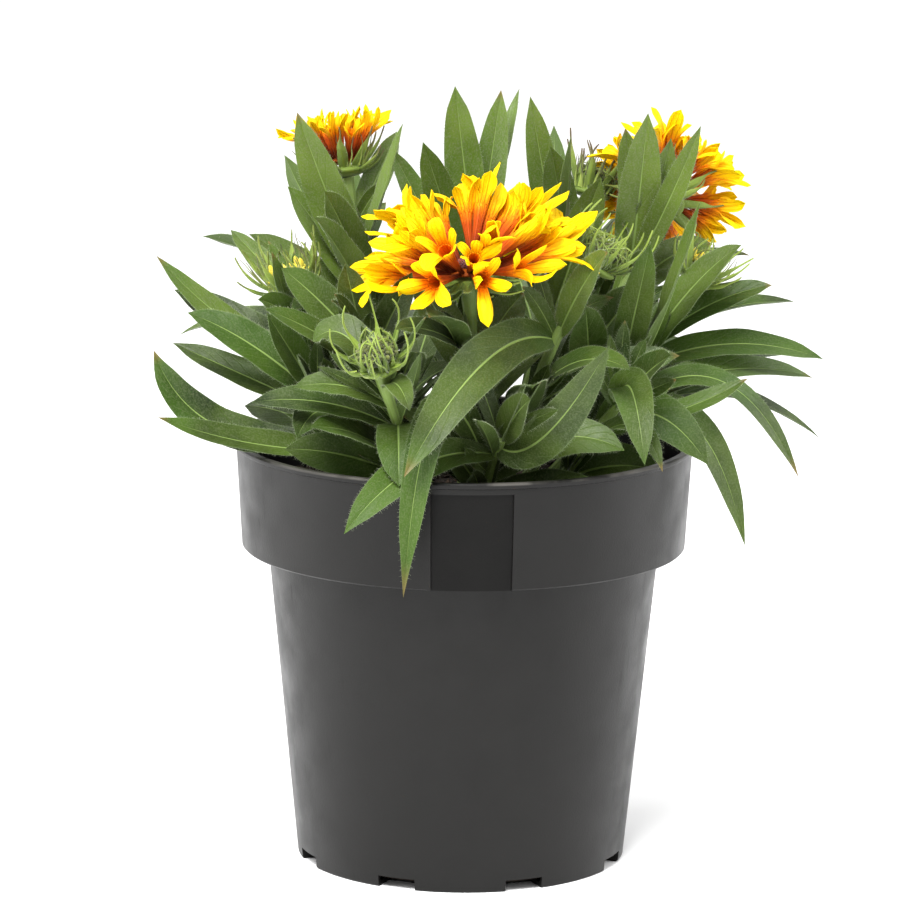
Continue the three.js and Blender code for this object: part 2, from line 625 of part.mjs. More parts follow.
// A trumpet floret: a narrow tube that flares to a hollow mouth of pointed lobes.
function trumpet(piece, [turn, lift], { from = 0, grow = 0 } = {}) {
  const { start, heading, rise, length, spin, size } = piece;
  const { mouth, throat, bend, lobes } = piece.kind;
  const facing = heading + degrees(turn);
  const direction = (along) => rising(facing, rise + lift + bend * along);
  const middle = start.clone().addScaledVector(direction(0), length * 0.45);
  const neck = middle.clone().addScaledVector(direction(0.6), length * 0.25);
  const end = neck.clone().addScaledVector(direction(1), length * 0.3);
  const ring = (centre, radius, along, offset) => {
    const across = outwards(facing + Math.PI / 2);
    const above = direction(along).cross(across);
    return Array.from({ length: lobes }, (_, k) => {
      const angle = spin + (2 * Math.PI * (k + offset)) / lobes;
      return centre.clone().addScaledVector(across, (radius + grow) * Math.cos(angle))
        .addScaledVector(above, (radius + grow) * Math.sin(angle));
    });
  };
  const points = [
    ...ring(start.clone().lerp(neck, from), 0.5 + from, 0, 0), ...ring(neck, throat, 0.8, 0),
    ...ring(end, mouth * size, 1, 0), ...ring(neck.clone().lerp(end, 0.7), mouth * size * 0.56, 1, 0.5),
    neck,
  ];
  const [base, top, tips, gaps, hollow] = [0, 1, 2, 3, 4].map((k) => k * lobes);
  const triangles = [];
  for (let k = 1; k < lobes - 1; k++) triangles.push([0, k + 1, k]);
  for (let k = 0; k < lobes; k++) {
    const next = (k + 1) % lobes;
    const before = (k + lobes - 1) % lobes;
    triangles.push(
      [base + k, base + next, top + next], [base + k, top + next, top + k],
      [top + k, gaps + k, tips + k], [top + k, tips + k, gaps + before], [top + k, top + next, gaps + k],
      [tips + k, gaps + k, hollow], [gaps + before, tips + k, hollow],
    );
  }
  return toSolid(closed(points, triangles));
}

const dome = (radius, height, z, shoulder) => turnedProfile([
  [0, z], [radius, z], [radius * shoulder, z + height * 0.85], [0, z + height],
], CORE_SIDES);

// Each part of a head is a core and the pieces that grow from it, each with the maker that bends it.
function calyx(head) {
  const random = seeded(head.core * 100);
  const cores = [turnedProfile([
    [0, SEAT_GAP], [head.core * 0.6, SEAT_GAP], [head.core, CALYX_HEIGHT - 1.4],
    [head.core - 0.6, CALYX_HEIGHT], [0, CALYX_HEIGHT],
  ], CORE_SIDES)];
  if (head.dome) cores.push(dome(head.core * 0.8, head.dome, CALYX_HEIGHT - 0.2, 0.8));
  const pieces = head.bracts.flatMap(([count, length, width, rise, curl], row) => (
    Array.from({ length: count }, (_, k) => {
      const heading = (2 * Math.PI * (k + row * 0.5 + 0.2 * (random() - 0.5))) / count;
      return {
        heading, width, keel: 0.45,
        start: outwards(heading).multiplyScalar(head.core * 0.72).add(at(0, 0, BRACT_ROW_HEIGHTS[row])),
        rise: rise + 10 * (random() - 0.5),
        length: length * (0.9 + 0.2 * random()),
        curl: curl * (0.8 + 0.4 * random()),
      };
    })));
  return { cores, pieces, maker: spur };
}

function rayFlorets(head) {
  const random = seeded(head.core * 1000 + 7);
  const core = head.core * CORE_SHARE;
  const z = CALYX_HEIGHT + SEAT_GAP;
  const pieces = head.rays.rows.flatMap(([count, length, rise], row) => (
    Array.from({ length: count }, (_, k) => {
      const heading = (2 * Math.PI * (k + row * 0.5 + 0.3 * (random() - 0.5))) / count;
      const size = 0.88 + 0.24 * random();
      return {
        heading, size, kind: head.rays, length: length * size,
        start: outwards(heading).multiplyScalar(core * ROOT_SHARES[row]).add(at(0, 0, z + 1.6)),
        rise: rise + 12 * (random() - 0.5),
        spin: 2 * Math.PI * random(),
      };
    })));
  return { cores: [dome(core, CORE_HEIGHT, z, 0.86)], pieces, maker: trumpet };
}

// A half-open head's young florets: short closed spurs packed on a low core.
function youngFlorets(head) {
  const random = seeded(head.core * 500 + 3);
  const core = head.core * CORE_SHARE;
  const z = CALYX_HEIGHT + SEAT_GAP;
  const pieces = head.florets.rows.flatMap(([count, length, rise], row) => (
    Array.from({ length: count }, (_, k) => {
      const heading = (2 * Math.PI * (k + row * 0.5)) / count;
      return {
        heading, length, width: head.florets.width, curl: 20, keel: 0.9,
        start: outwards(heading).multiplyScalar(core * ROOT_SHARES[row]).add(at(0, 0, z + 1)),
        rise: rise + 14 * (random() - 0.5),
      };
    })));
  return { cores: [dome(core, CORE_HEIGHT, z, 0.86)], pieces, maker: spur };
}

// The disc florets, raised from a half ball by a formula: every other point of its rings stands out.
function disc(head) {
  const rings = 5;
  const points = [at(0, 0, head.disc), at(0, 0, 0)];
  const triangles = [];
  for (let ring = 1; ring <= rings; ring++) {
    const polar = (ring * Math.PI) / 2 / rings;
    for (let k = 0; k < DISC_SIDES; k++) {
      const relief = ring === rings ? 1 : 1 + ((k + ring) % 2 === 0 ? 0.12 : -0.14);
      points.push(outwards((2 * Math.PI * k) / DISC_SIDES).multiplyScalar(Math.sin(polar))
        .add(at(0, 0, Math.cos(polar))).multiplyScalar(head.disc * relief));
    }
  }
  const index = (ring, k) => 2 + (ring - 1) * DISC_SIDES + (k % DISC_SIDES);
  for (let k = 0; k < DISC_SIDES; k++) {
    triangles.push([0, index(1, k), index(1, k + 1)], [1, index(rings, k + 1), index(rings, k)]);
    for (let ring = 1; ring < rings; ring++) {
      triangles.push(
        [index(ring, k), index(ring + 1, k), index(ring + 1, k + 1)],
        [index(ring, k), index(ring + 1, k + 1), index(ring, k + 1)],
      );
    }
  }
  const seat = CALYX_HEIGHT + CORE_HEIGHT + 2 * SEAT_GAP;
  return { cores: [toSolid(closed(points, triangles)).translate([0, 0, seat])], pieces: [], maker: null };
}

// ---------------------------------------------------------------- assembly

const plant = new THREE.Group();
plant.name = 'blanket_flower_plant';

const finish = (color, roughness) => new THREE.MeshStandardMaterial({ color, roughness, metalness: 0 });
const FINISHES = {
  pot: finish(0x474648, 0.5), soil: finish(0x2b211b, 1), leaf: finish(0x47692f, 0.65),
  calyx: finish(0x6b8a3c, 0.7), rays: finish(0xf7b50a, 0.55), disc: finish(0x6b2416, 0.8),
  florets: finish(0xb7a92a, 0.7),
};

function addMesh(parent, name, solid, material) {
  const mesh = new THREE.Mesh(toGeometry(solid), material);
  mesh.name = name;
  parent.add(mesh);
}

// A head's frame: at the stem's top, +Z along the stem's end.
function headFrame(shoot) {
  const frame = new THREE.Group();
  frame.position.set(...shoot.top);
  frame.quaternion.setFromUnitVectors(UP, at(...shoot.top).sub(at(...shoot.bend)).normalize());
  frame.updateMatrixWorld(true);
  return frame;
}

const vessel = pot();
const ground = soil();
addMesh(plant, 'pot', vessel, FINISHES.pot);
addMesh(plant, 'soil', ground, FINISHES.soil);
const obstacles = [asObstacle(vessel), asObstacle(ground)];
for (const shoot of SHOOTS) obstacles.push(asObstacle(stem(shoot), shoot));

for (const shoot of SHOOTS.filter(({ head }) => head)) {
  const head = HEADS[shoot.head];
  const frame = headFrame(shoot);
  const inPlace = (solid) => solid.transform(frame.matrixWorld.elements);
  plant.add(frame);
  const parts = [['calyx', calyx(head)]];
  if (head.rays) parts.push(['disc', disc(head)], ['rays', rayFlorets(head)]);
  if (head.florets) parts.push(['florets', youngFlorets(head)]);
  for (const [part, { cores, pieces, maker }] of parts) {
    const sisters = [];
    const solids = [...cores];
    for (const piece of pieces) {
      const make = (bend, trial) => inPlace(maker(piece, bend, trial));
      const way = settle(make, HEAD_BENDS, obstacles, sisters);
      if (!way) continue;
      solids.push(maker(piece, way));
      sisters.push(asObstacle(inPlace(maker(piece, way, { from: TIP_SHARE }))));
    }
    const whole = join(solids);
    addMesh(frame, `${shoot.head}_${part}`, whole, FINISHES[part]);
    obstacles.push(asObstacle(inPlace(whole)));
  }
}

const grown = new Map(SHOOTS.map((shoot) => [shoot, { solids: [stem(shoot)], sisters: [] }]));
const queue = [namedLeaves, fillLeaves].flatMap((leavesOf) => (
  SHOOTS.flatMap((shoot, number) => leavesOf(shoot, number).map((leaf) => [shoot, leaf]))));
for (const [shoot, leaf] of queue) {
  const { solids, sisters } = grown.get(shoot);
  const root = stemLine(shoot).getPoint(leaf.height);
  const make = (way, trial) => blade(bladeLine(root, leaf, way), leaf, trial);
  const strangers = obstacles.filter((other) => other.shoot !== shoot);
  const way = settle(make, LEAF_BENDS, strangers, sisters);
  if (!way) continue;
  solids.push(make(way));
  sisters.push(asObstacle(make(way, { from: TIP_SHARE })));
  obstacles.push(asObstacle(make(way), shoot));
}
for (const [shoot, { solids }] of grown) addMesh(plant, shoot.name, join(solids), FINISHES.leaf);

export default plant;
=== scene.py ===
"""Fine surfaces, hairs and finishes for a potted blanket flower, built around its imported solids."""

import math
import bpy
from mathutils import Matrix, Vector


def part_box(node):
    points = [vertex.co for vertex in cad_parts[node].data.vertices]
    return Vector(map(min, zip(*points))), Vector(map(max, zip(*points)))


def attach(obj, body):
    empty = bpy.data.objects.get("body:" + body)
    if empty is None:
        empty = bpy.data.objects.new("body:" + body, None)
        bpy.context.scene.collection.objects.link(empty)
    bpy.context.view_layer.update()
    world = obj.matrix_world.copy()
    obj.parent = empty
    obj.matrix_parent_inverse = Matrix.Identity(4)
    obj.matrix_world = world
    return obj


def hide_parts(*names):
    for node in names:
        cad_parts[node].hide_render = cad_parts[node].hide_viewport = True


bl_info = {
    "name": "Potted blanket flower",
    "version": (1, 0, 0),
    "blender": (4, 5, 0),
    "location": "3D View > Sidebar > Blanket flower",
    "description": "Models a blanket flower plant, its nursery pot and soil, and the stage they stand on",
    "category": "Object",
}

from collections import namedtuple

import bmesh
import bpy
import numpy as np
from bpy.props import FloatProperty, FloatVectorProperty, IntProperty, PointerProperty
from mathutils import Matrix, Vector, noise
from mathutils.kdtree import KDTree

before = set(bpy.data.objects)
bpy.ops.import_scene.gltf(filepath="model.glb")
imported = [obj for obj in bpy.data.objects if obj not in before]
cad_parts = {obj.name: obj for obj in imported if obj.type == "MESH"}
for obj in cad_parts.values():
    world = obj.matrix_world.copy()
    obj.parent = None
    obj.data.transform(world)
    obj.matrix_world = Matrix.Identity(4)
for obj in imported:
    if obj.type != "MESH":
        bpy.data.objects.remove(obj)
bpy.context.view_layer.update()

MM = 0.001
TURN = 2 * math.pi
UP = np.array((0.0, 0.0, 1.0))
BODY = "root"

# ------------------------------------------------------------------ the plant's plan, in millimetres

# A leaf is (height up the stem, tip, (width, arch, face, reach)). The stem rises straight out of the soil at
# root, turns at bend and ends at top. fill leaves more stand in a spiral, up to fill_top.
Shoot = namedtuple("Shoot", "name root bend top head fill fill_top leaves")
Leaf = namedtuple("Leaf", "height tip width arch face reach")

SHOOTS = (
    Shoot("stem_front_right", (15, -24), (21, -42, 190), (47, -37, 235), "bud_right", 3, 0.48, (
        (0.72, (-22, -106, 170), (19, 16, 62, 0.45)), (0.74, (52, -74, 249), (14, 3, 50, 0.5)),
        (0.5, (61, -80, 206), (13, 8, 45, 0.5)),
    )),
    Shoot("stem_front_low", (6, -38), (8, -46, 158), (14, -62, 176), None, 1, 0.4, (
        (0.55, (-22, -103, 124), (14, 52, 80, 0.75)), (0.8, (-38, -114, 154), (15, 11, 50, 0.55)),
        (0.9, (53, -92, 217), (16.5, -12, 85, 0.35)), (0.5, (60, -62, 172), (17.5, 10, 55, 0.5)),
        (0.45, (-60, -58, 170), (17.5, 8, 55, 0.5)), (0.95, (24, -88, 196), (13, 2, 60, 0.5)),
        (0.15, (52, -64, 157), (15.5, 3, 60, 0.5)),
    )),
    Shoot("stem_front_bud", (-9, -31), (-23, -66, 172), (-31, -86, 206), "bud_front", 2, 0.5, (
        (0.66, (-24, -94, 164), (16.5, 5, 50, 0.5)), (0.62, (-79, -78, 192), (11.5, 5, 45, 0.5)),
        (0.78, (-63, -84, 199), (11, 4, 45, 0.5)), (0.8, (-57, -62, 212), (15, 12, 35, 0.6)),
        (0.9, (-20, -112, 196), (9, 5, 50, 0.5)), (0.2, (-70, -44, 163), (17.5, 4, 60, 0.5)),
    )),
    Shoot("stem_front", (3, -19), (4, -46, 199), (1, -50, 231), "bloom_front", 3, 0.57, (
        (0.64, (-29, -92, 223), (11.5, 4, 50, 0.5)), (0.5, (-19, -22, 229), (15, 3, 70, 0.5)),
        (0.56, (22, -30, 226), (15, 3, 70, 0.5)),
    )),
    Shoot("stem_left_low", (-28, -25), (-42, -32, 166), (-56, -36, 188), None, 2, 0.4, (
        (0.6, (-120, -34, 198), (15, -18, 45, 0.8)), (0.9, (-105, -34, 218), (15.5, 4, 50, 0.5)),
        (0.8, (-112, -10, 202), (14, 0, 35, 0.5)), (0.5, (-116, -54, 176), (12, -4, 38, 0.5)),
        (1, (-74, -58, 222), (13, 0, 50, 0.5)), (0.7, (-62, -84, 180), (14, 8, 50, 0.5)),
    )),
    Shoot("stem_left_head", (-24, -11), (-55, -17, 192), (-65, -21, 223), "head_left", 3, 0.5, (
        (0.62, (-118, -12, 236), (13, -8, 30, 0.5)), (0.8, (-75, -46, 246), (10, -6, 40, 0.4)),
        (0.45, (-112, 0, 221), (16.5, 2, 40, 0.5)), (0.86, (-92, 2, 246), (10.5, 2, 30, 0.5)),
    )),
    Shoot("stem_upper_left", (-14, 6), (-40, 16, 216), (-47, 25, 261), "bloom_left", 3, 0.5, (
        (0.62, (-65, -2, 290), (16.5, -3, 75, 0.5)), (0.55, (-54, -16, 262), (15.5, 3, 55, 0.5)),
        (0.5, (-69, 16, 259), (15, 2, 40, 0.5)), (0.46, (-64, -26, 250), (15.5, 4, 45, 0.5)),
        (0.7, (-25, 6, 285), (8, -2, 20, 0.5)), (0.42, (-84, 18, 240), (15, 4, 30, 0.5)),
        (0.8, (-26, 42, 277), (11, 0, 70, 0.5)),
    )),
    Shoot("stem_top", (0, 18), (2, 30, 205), (4, 36, 238), None, 2, 0.5, (
        (0.9, (-5, 27, 297), (15, -2, 80, 0.5)), (0.85, (13, 48, 293), (13, -2, 80, 0.5)),
        (0.95, (20, 60, 292), (8, -2, 10, 0.5)), (0.7, (-17, 6, 278), (14, 0, 80, 0.5)),
        (0.6, (-30, 34, 272), (11.5, 2, 60, 0.5)), (0.6, (-8, 78, 262), (15.5, 4, -40, 0.5)),
        (0.55, (30, 84, 250), (15.5, 6, -40, 0.5)), (0.45, (10, -8, 236), (16.5, 2, 70, 0.5)),
    )),
    Shoot("stem_upper_right", (11, 10), (36, 24, 214), (47, 30, 253), "bud_upper", 2, 0.5, (
        (0.66, (24, 14, 295), (13, -2, 80, 0.5)), (0.6, (34, 64, 277), (12, 0, -60, 0.5)),
        (0.55, (39, -10, 283), (8, -2, 20, 0.5)), (0.75, (33, 6, 279), (13, 0, 75, 0.5)),
        (0.5, (52, -4, 270), (15.5, 0, 70, 0.5)), (0.5, (74, 62, 254), (15.5, 4, -30, 0.5)),
    )),
    Shoot("stem_right_bloom", (22, 3), (69, -6, 240), (74, 13, 253), "bloom_right", 3, 0.5, (
        (0.58, (68, -24, 294), (16.5, -4, 75, 0.5)), (0.66, (77, -20, 284), (13, -4, 75, 0.5)),
        (0.6, (90, -34, 291), (10, -3, 60, 0.5)), (0.7, (60, -8, 286), (11.5, 0, 70, 0.5)),
        (0.62, (96, 44, 254), (15.5, 4, -20, 0.5)),
    )),
    Shoot("stem_right_head", (26, -10), (66, -10, 194), (86, -6, 226), "head_right", 2, 0.36, (
        (0.6, (105, -26, 245), (15, 5, 40, 0.5)), (0.52, (87, -48, 264), (10.5, -8, 25, 0.5)),
        (0.68, (117, -6, 226), (13, 4, 36, 0.5)), (0.72, (127, 16, 216), (10.5, 4, 20, 0.5)),
        (0.55, (138, 2, 196), (15, 8, 36, 0.5)), (0.42, (136, 28, 194), (12, 6, 30, 0.5)),
        (0.46, (72, -44, 251), (13, 0, 60, 0.5)),
    )),
    Shoot("stem_right_low", (30, -22), (46, -33, 170), (62, -42, 190), None, 1, 0.3, (
        (0.6, (92, -48, 164), (17.5, 14, 60, 0.5)), (0.5, (108, -22, 127), (13, 35, 45, 0.7)),
        (0.75, (131, 22, 186), (13, 10, 40, 0.5)), (0.7, (107, -22, 190), (11, -4, 20, 0.5)),
        (0.65, (139, 28, 160), (10, 16, 30, 0.5)), (0.5, (121, 14, 145), (11.5, 34, 30, 0.6)),
        (0.85, (67, -80, 170), (15, 18, 60, 0.5)), (0.9, (70, -66, 213), (13, 2, 50, 0.5)),
        (0.3, (74, -72, 166), (9, 18, 40, 0.7)), (0.2, (74, -40, 160), (17.5, 4, 60, 0.5)),
    )),
    Shoot("stem_left_middle", (-18, -38), (-28, -42, 178), (-38, -46, 208), None, 2, 0.6, (
        (0.95, (-69, -50, 238), (15, 2, 65, 0.5)), (0.85, (-76, -62, 225), (11.5, 2, 45, 0.5)),
        (1, (-46, -62, 240), (13, 0, 70, 0.5)), (0.9, (-20, -70, 240), (12, 0, 70, 0.5)),
    )),
    Shoot("stem_back_left", (-16, 27), (-36, 48, 186), (-48, 68, 222), None, 3, 0.7, (
        (0.7, (-104, 62, 232), (15.5, 6, -20, 0.5)), (0.6, (-62, 118, 218), (15.5, 10, -30, 0.5)),
        (0.8, (-72, 66, 264), (14, 0, -50, 0.5)), (0.5, (-112, 44, 196), (16.5, 12, 10, 0.5)),
        (0.95, (-46, 100, 256), (13, 0, -60, 0.5)),
    )),
    Shoot("stem_back_right", (16, 28), (42, 48, 184), (56, 66, 214), None, 3, 0.7, (
        (0.9, (78, 84, 258), (15, 0, -50, 0.5)), (0.8, (112, 66, 226), (15.5, 8, -20, 0.5)),
        (0.7, (60, 122, 208), (16.5, 12, -30, 0.5)), (0.95, (42, 92, 246), (13, 0, -60, 0.5)),
        (0.4, (97, 52, 146), (13, 26, 0, 0.6)),
    )),
    Shoot("stem_back", (0, 38), (0, 62, 178), (-2, 82, 206), None, 2, 0.7, (
        (0.9, (-16, 132, 214), (15.5, 8, -30, 0.5)), (0.8, (22, 128, 190), (16.5, 14, -30, 0.5)),
        (1, (-8, 96, 246), (14, 0, -60, 0.5)), (0.6, (-40, 116, 160), (16.5, 26, -20, 0.6)),
    )),
)

# core is the radius of a head's receptacle, and flush how purple its bracts' tips are. A row of bracts is
# (count, length, width, rise, curl), and inner gives the finer ones between them, some of it as ranges. A row
# of florets is (count, length, rise); between is the share of them with one more beside them, where the sine
# of their heading is over clear. threads are (count, range of shades), and bristles are (ring's inner and
# outer radius, count, length, range of lean, range of curl). thread_from is where a bract starts to thin out.
HEADS = {
    "bloom_front": {
        "core": 10, "flush": 0.1, "bracts": ((8, 20, 4.4, -4, 30), (5, 14, 3.4, -34, 70)),
        "inner": (10, (14, 21), 3.8, (-50, -5), (0, 110)),
        "disc": 3.4,
        "rays": {"rows": ((9, 37, 8), (8, 37, 38), (5, 38, 64)),
                 "mouth": 8.4, "throat": 2.8, "bend": 8, "lobes": 5, "between": 0.6, "clear": -0.55},
    },
    "bloom_right": {
        "core": 9.5, "flush": 0.4, "bracts": ((8, 19, 4.4, 10, 20), (5, 14, 3.4, -14, 40)),
        "disc": 3,
        "rays": {"rows": ((10, 26.5, 8), (7, 25, 32), (3, 23, 60)),
                 "mouth": 6.4, "throat": 2.5, "bend": 6, "lobes": 4, "between": 1.0, "clear": -2},
    },
    "bloom_left": {
        "core": 9, "flush": 0.8, "bracts": ((8, 20, 4.4, 34, 24), (5, 17, 3.4, 12, 60)),
        "disc": 1.8, "bristles": ((7, 9), 22, 13, (35, 75), (0, 40)),
        "rays": {"rows": ((10, 22, 54), (6, 20, 68), (3, 18, 82)),
                 "mouth": 3.7, "throat": 1.7, "bend": -4, "lobes": 4, "between": 0.5, "clear": -2},
    },
    "head_left": {
        "core": 9, "flush": 0.35, "bracts": ((9, 22, 3.6, 38, 46), (5, 17, 3, 14, 60)),
        "inner": (10, (11, 16), 2.2, (45, 70), (30, 100)),
        "bristles": ((7, 9), 34, 15, (48, 78), (-10, 70)),
        "florets": {"rows": ((7, 7, 66), (3, 6, 80)), "width": 3.6},
    },
    "head_right": {
        "core": 7.6, "flush": 0.1, "bracts": ((8, 19, 3.2, 42, 34), (4, 18, 3, 8, 50)),
        "inner": (8, (10, 15), 2.0, (50, 75), (20, 90)),
        "bristles": ((5.6, 7.6), 26, 13, (50, 80), (-20, 60)),
        "florets": {"rows": ((6, 7, 66), (2, 6, 80)), "width": 3.2},
    },
    "bud_front": {
        "core": 7.6, "flush": 0.1, "bracts": ((8, 23, 2.6, 16, 84), (5, 12, 2.6, 64, 40)),
        "dome": 5.4, "inner": (13, (12, 19), 1.9, (48, 80), (40, 190)),
        "thread_from": 0.3, "threads": (9, (0.3, 1.2)), "bristles": ((7.6, 8.6), 6, 9, (5, 40), (10, 80)),
    },
    "bud_right": {
        "core": 8.6, "flush": 0.1, "bracts": ((9, 24, 2.6, 30, 80), (5, 14, 2.6, 68, 36)),
        "dome": 6, "inner": (13, (13, 19), 1.7, (52, 84), (40, 170)),
        "thread_from": 0.3, "threads": (50, (0, 0.8)),
    },
    "bud_upper": {
        "core": 8.2, "flush": 0.9, "bracts": ((7, 21, 3.8, 56, 14), (4, 16, 3, 76, 10)),
        "dome": 6, "inner": (9, (12, 18), 2.4, (68, 88), (-20, 30)),
        "threads": (10, (0.5, 1)), "bristles": ((3, 8.2), 84, 13, (60, 88), (-30, 40)),
    },
}

# How a piece may have been bent clear of its neighbours, in degrees: a leaf by (turn, rise, share of its
# length that is left), a bract or floret by (turn, rise).
LEAF_BENDS = (
    (0, 0, 1), (4, 0, 1), (-4, 0, 1), (0, 4, 1), (0, -4, 1), (7, 4, 1), (-7, 4, 1), (7, -4, 1),
    (-7, -4, 1), (0, 8, 1), (0, -8, 1), (11, 0, 1), (-11, 0, 1), (11, 7, 1), (-11, 7, 1),
    (14, -6, 0.95), (-14, -6, 0.95), (0, 13, 1), (18, 4, 0.95), (-18, 4, 0.95), (0, -13, 0.95),
    (18, 12, 0.9), (-18, 12, 0.9), (25, 0, 0.9), (-25, 0, 0.9), (25, 15, 0.85), (-25, 15, 0.85),
    (35, 6, 0.8), (-35, 6, 0.8), (48, 10, 0.8), (-48, 10, 0.8),
)
HEAD_BENDS = (
    (0, 0), (0, 6), (0, -6), (7, 0), (-7, 0), (7, 7), (-7, 7), (7, -7), (-7, -7), (0, 13), (0, -13),
    (12, 5), (-12, 5), (0, 20), (0, -20), (15, 14), (-15, 14), (0, 28), (0, -28), (18, -15),
    (-18, -15), (0, 36), (0, -36),
)

FILL = {
    "from": 0.14, "spread": 230, "rise": (12, 48), "face": (10, 60),
    "length": (58, 78), "width": (14, 17.5), "arch": (4, 9), "behind": 15,
}
SOIL_TOP = 141
PANEL_AZIMUTH = -87  # degrees, of the label panel's middle
STEM = {"buried": 22, "straight": 3.6, "foot_radius": 2.6, "top_radius": 1.9, "flare": 1.3}
BLADE = {"base_share": 0.2, "fullness": 0.6, "point": 0.12, "point_power": 0.4}
CALYX_HEIGHT = 5
CORE_HEIGHT = 3
SEAT_GAP = 0.3
BRACT_ROW_HEIGHTS = (3.8, 1.8)
CORE_SHARE = 0.7
ROOT_SHARES = (0.84, 0.64, 0.42)
NECKS = (0.58, 0.61, 0.68)  # where the tube of each row's florets ends, as a share of the floret
LOBE_ROOT = 0.07  # how far a lobe's foot reaches down its tube, as a share of the tube
LOW_ROOT = 190  # a leaf that leaves its stem below this height bears three small leaves, the others two
SMALL_LEAF = 7.5  # leaves up to this width are built with fewer faces
SAME_PLACE = 0.03  # a corner this near to a solid's corner is that corner
THREAD_FROM = 0.5  # where most bracts start to thin out, as a share of their length
INNER_THREAD_FROM = 0.25
TUBE_FOOT = 0.85  # radius of a floret's tube at its root
BRISTLE_ROOT = 3.4  # height of the bristles' roots in their head
BRISTLE_RADIUS = 0.3
HAIR_RADIUS = {"leaf": 0.042, "head": 0.04}
HAIRS = {"stem": 260, "bract": 46, "calyx": 150}
PATH_POINTS = 27  # on the middle line of each thread and bristle
SOIL_BUMPS = ((1.1, 17), (0.8, 5), (0.45, 2))  # (height, width) of the swells on the compost
FACES = {  # of each shape, round or across it and along it
    "stem": (14, 30), "bract": (6, 22), "thread": (4, 16), "dome": (28, 14), "floret": (6, 5),
    "tube": (20, 8), "lobe": (4, 6),
}
SPUN_STEPS = {"pot": 144, "soil": 72}
EDGE = 0.0006  # how far the pot's edges are rounded off, in metres

# ------------------------------------------------------------------ small geometry helpers


def seeded(seed):
    """The plan's own source of numbers from 0 to 1."""
    state = int(seed) & 0xFFFFFFFF

    def draw():
        nonlocal state
        state = (state * 1664525 + 1013904223) & 0xFFFFFFFF
        return state / 4294967296

    return draw


def lerp(a, b, share):
    return a + (b - a) * share


def smooth(low, high, value):
    share = np.clip((value - low) / (high - low), 0, 1)
    return share * share * (3 - 2 * share)


def unit(vectors):
    vectors = np.asarray(vectors, float)
    length = np.linalg.norm(vectors, axis=-1, keepdims=True)
    return vectors / np.maximum(length, 1e-12)


def turned(first, second, angle):
    """Two directions square to each other, turned by an angle from the first towards the second."""
    cosine, sine = np.cos(angle)[:, None], np.sin(angle)[:, None]
    return first * cosine + second * sine, second * cosine - first * sine


def rising(heading, angle):
    """The direction that leaves the axis at heading and rises at angle degrees."""
    heading, angle = np.broadcast_arrays(heading, np.radians(angle))
    return np.stack([np.cos(angle) * np.cos(heading), np.cos(angle) * np.sin(heading), np.sin(angle)], -1)


def bezier(points, share):
    a, b, c = (np.asarray(point, float) for point in points)
    t = np.asarray(share, float)[..., None]
    return (1 - t) ** 2 * a + 2 * t * (1 - t) * b + t * t * c


def bezier_heading(points, share):
    a, b, c = (np.asarray(point, float) for point in points)
    t = np.asarray(share, float)[..., None]
    return unit((1 - t) * (b - a) + t * (c - b))


def carried_frames(path):
    """Tangent, and two directions square to it that don't twist, at each point of a path."""
    tangent = unit(np.gradient(path, axis=0))
    start = UP if abs(tangent[0][2]) < 0.9 else np.array((1.0, 0.0, 0.0))
    first = unit(np.cross(tangent[0], start))
    side = [first]
    for direction in tangent[1:]:
        carried = side[-1] - direction * np.dot(side[-1], direction)
        side.append(unit(carried))
    side = np.array(side)
    return tangent, side, np.cross(tangent, side)


# ------------------------------------------------------------------ shapes and bodies


class Shape:
    """A mesh made by operators, kept as arrays so that copies of it can be bent into place."""

    def __init__(self, bm):
        bm.verts.index_update()
        self.points = np.array([vertex.co[:] for vertex in bm.verts])
        self.sizes = np.array([len(face.verts) for face in bm.faces])
        self.corners = np.array([vertex.index for face in bm.faces for vertex in face.verts])
        bm.free()


def growth_of(count, first, second=0.0, third=0.0):
    """The four shares that the finishes read, for count corners or copies: each one number, or an array."""
    return np.stack(
        [np.broadcast_to(np.asarray(share, float), count) for share in (first, second, third, 1)], -1)


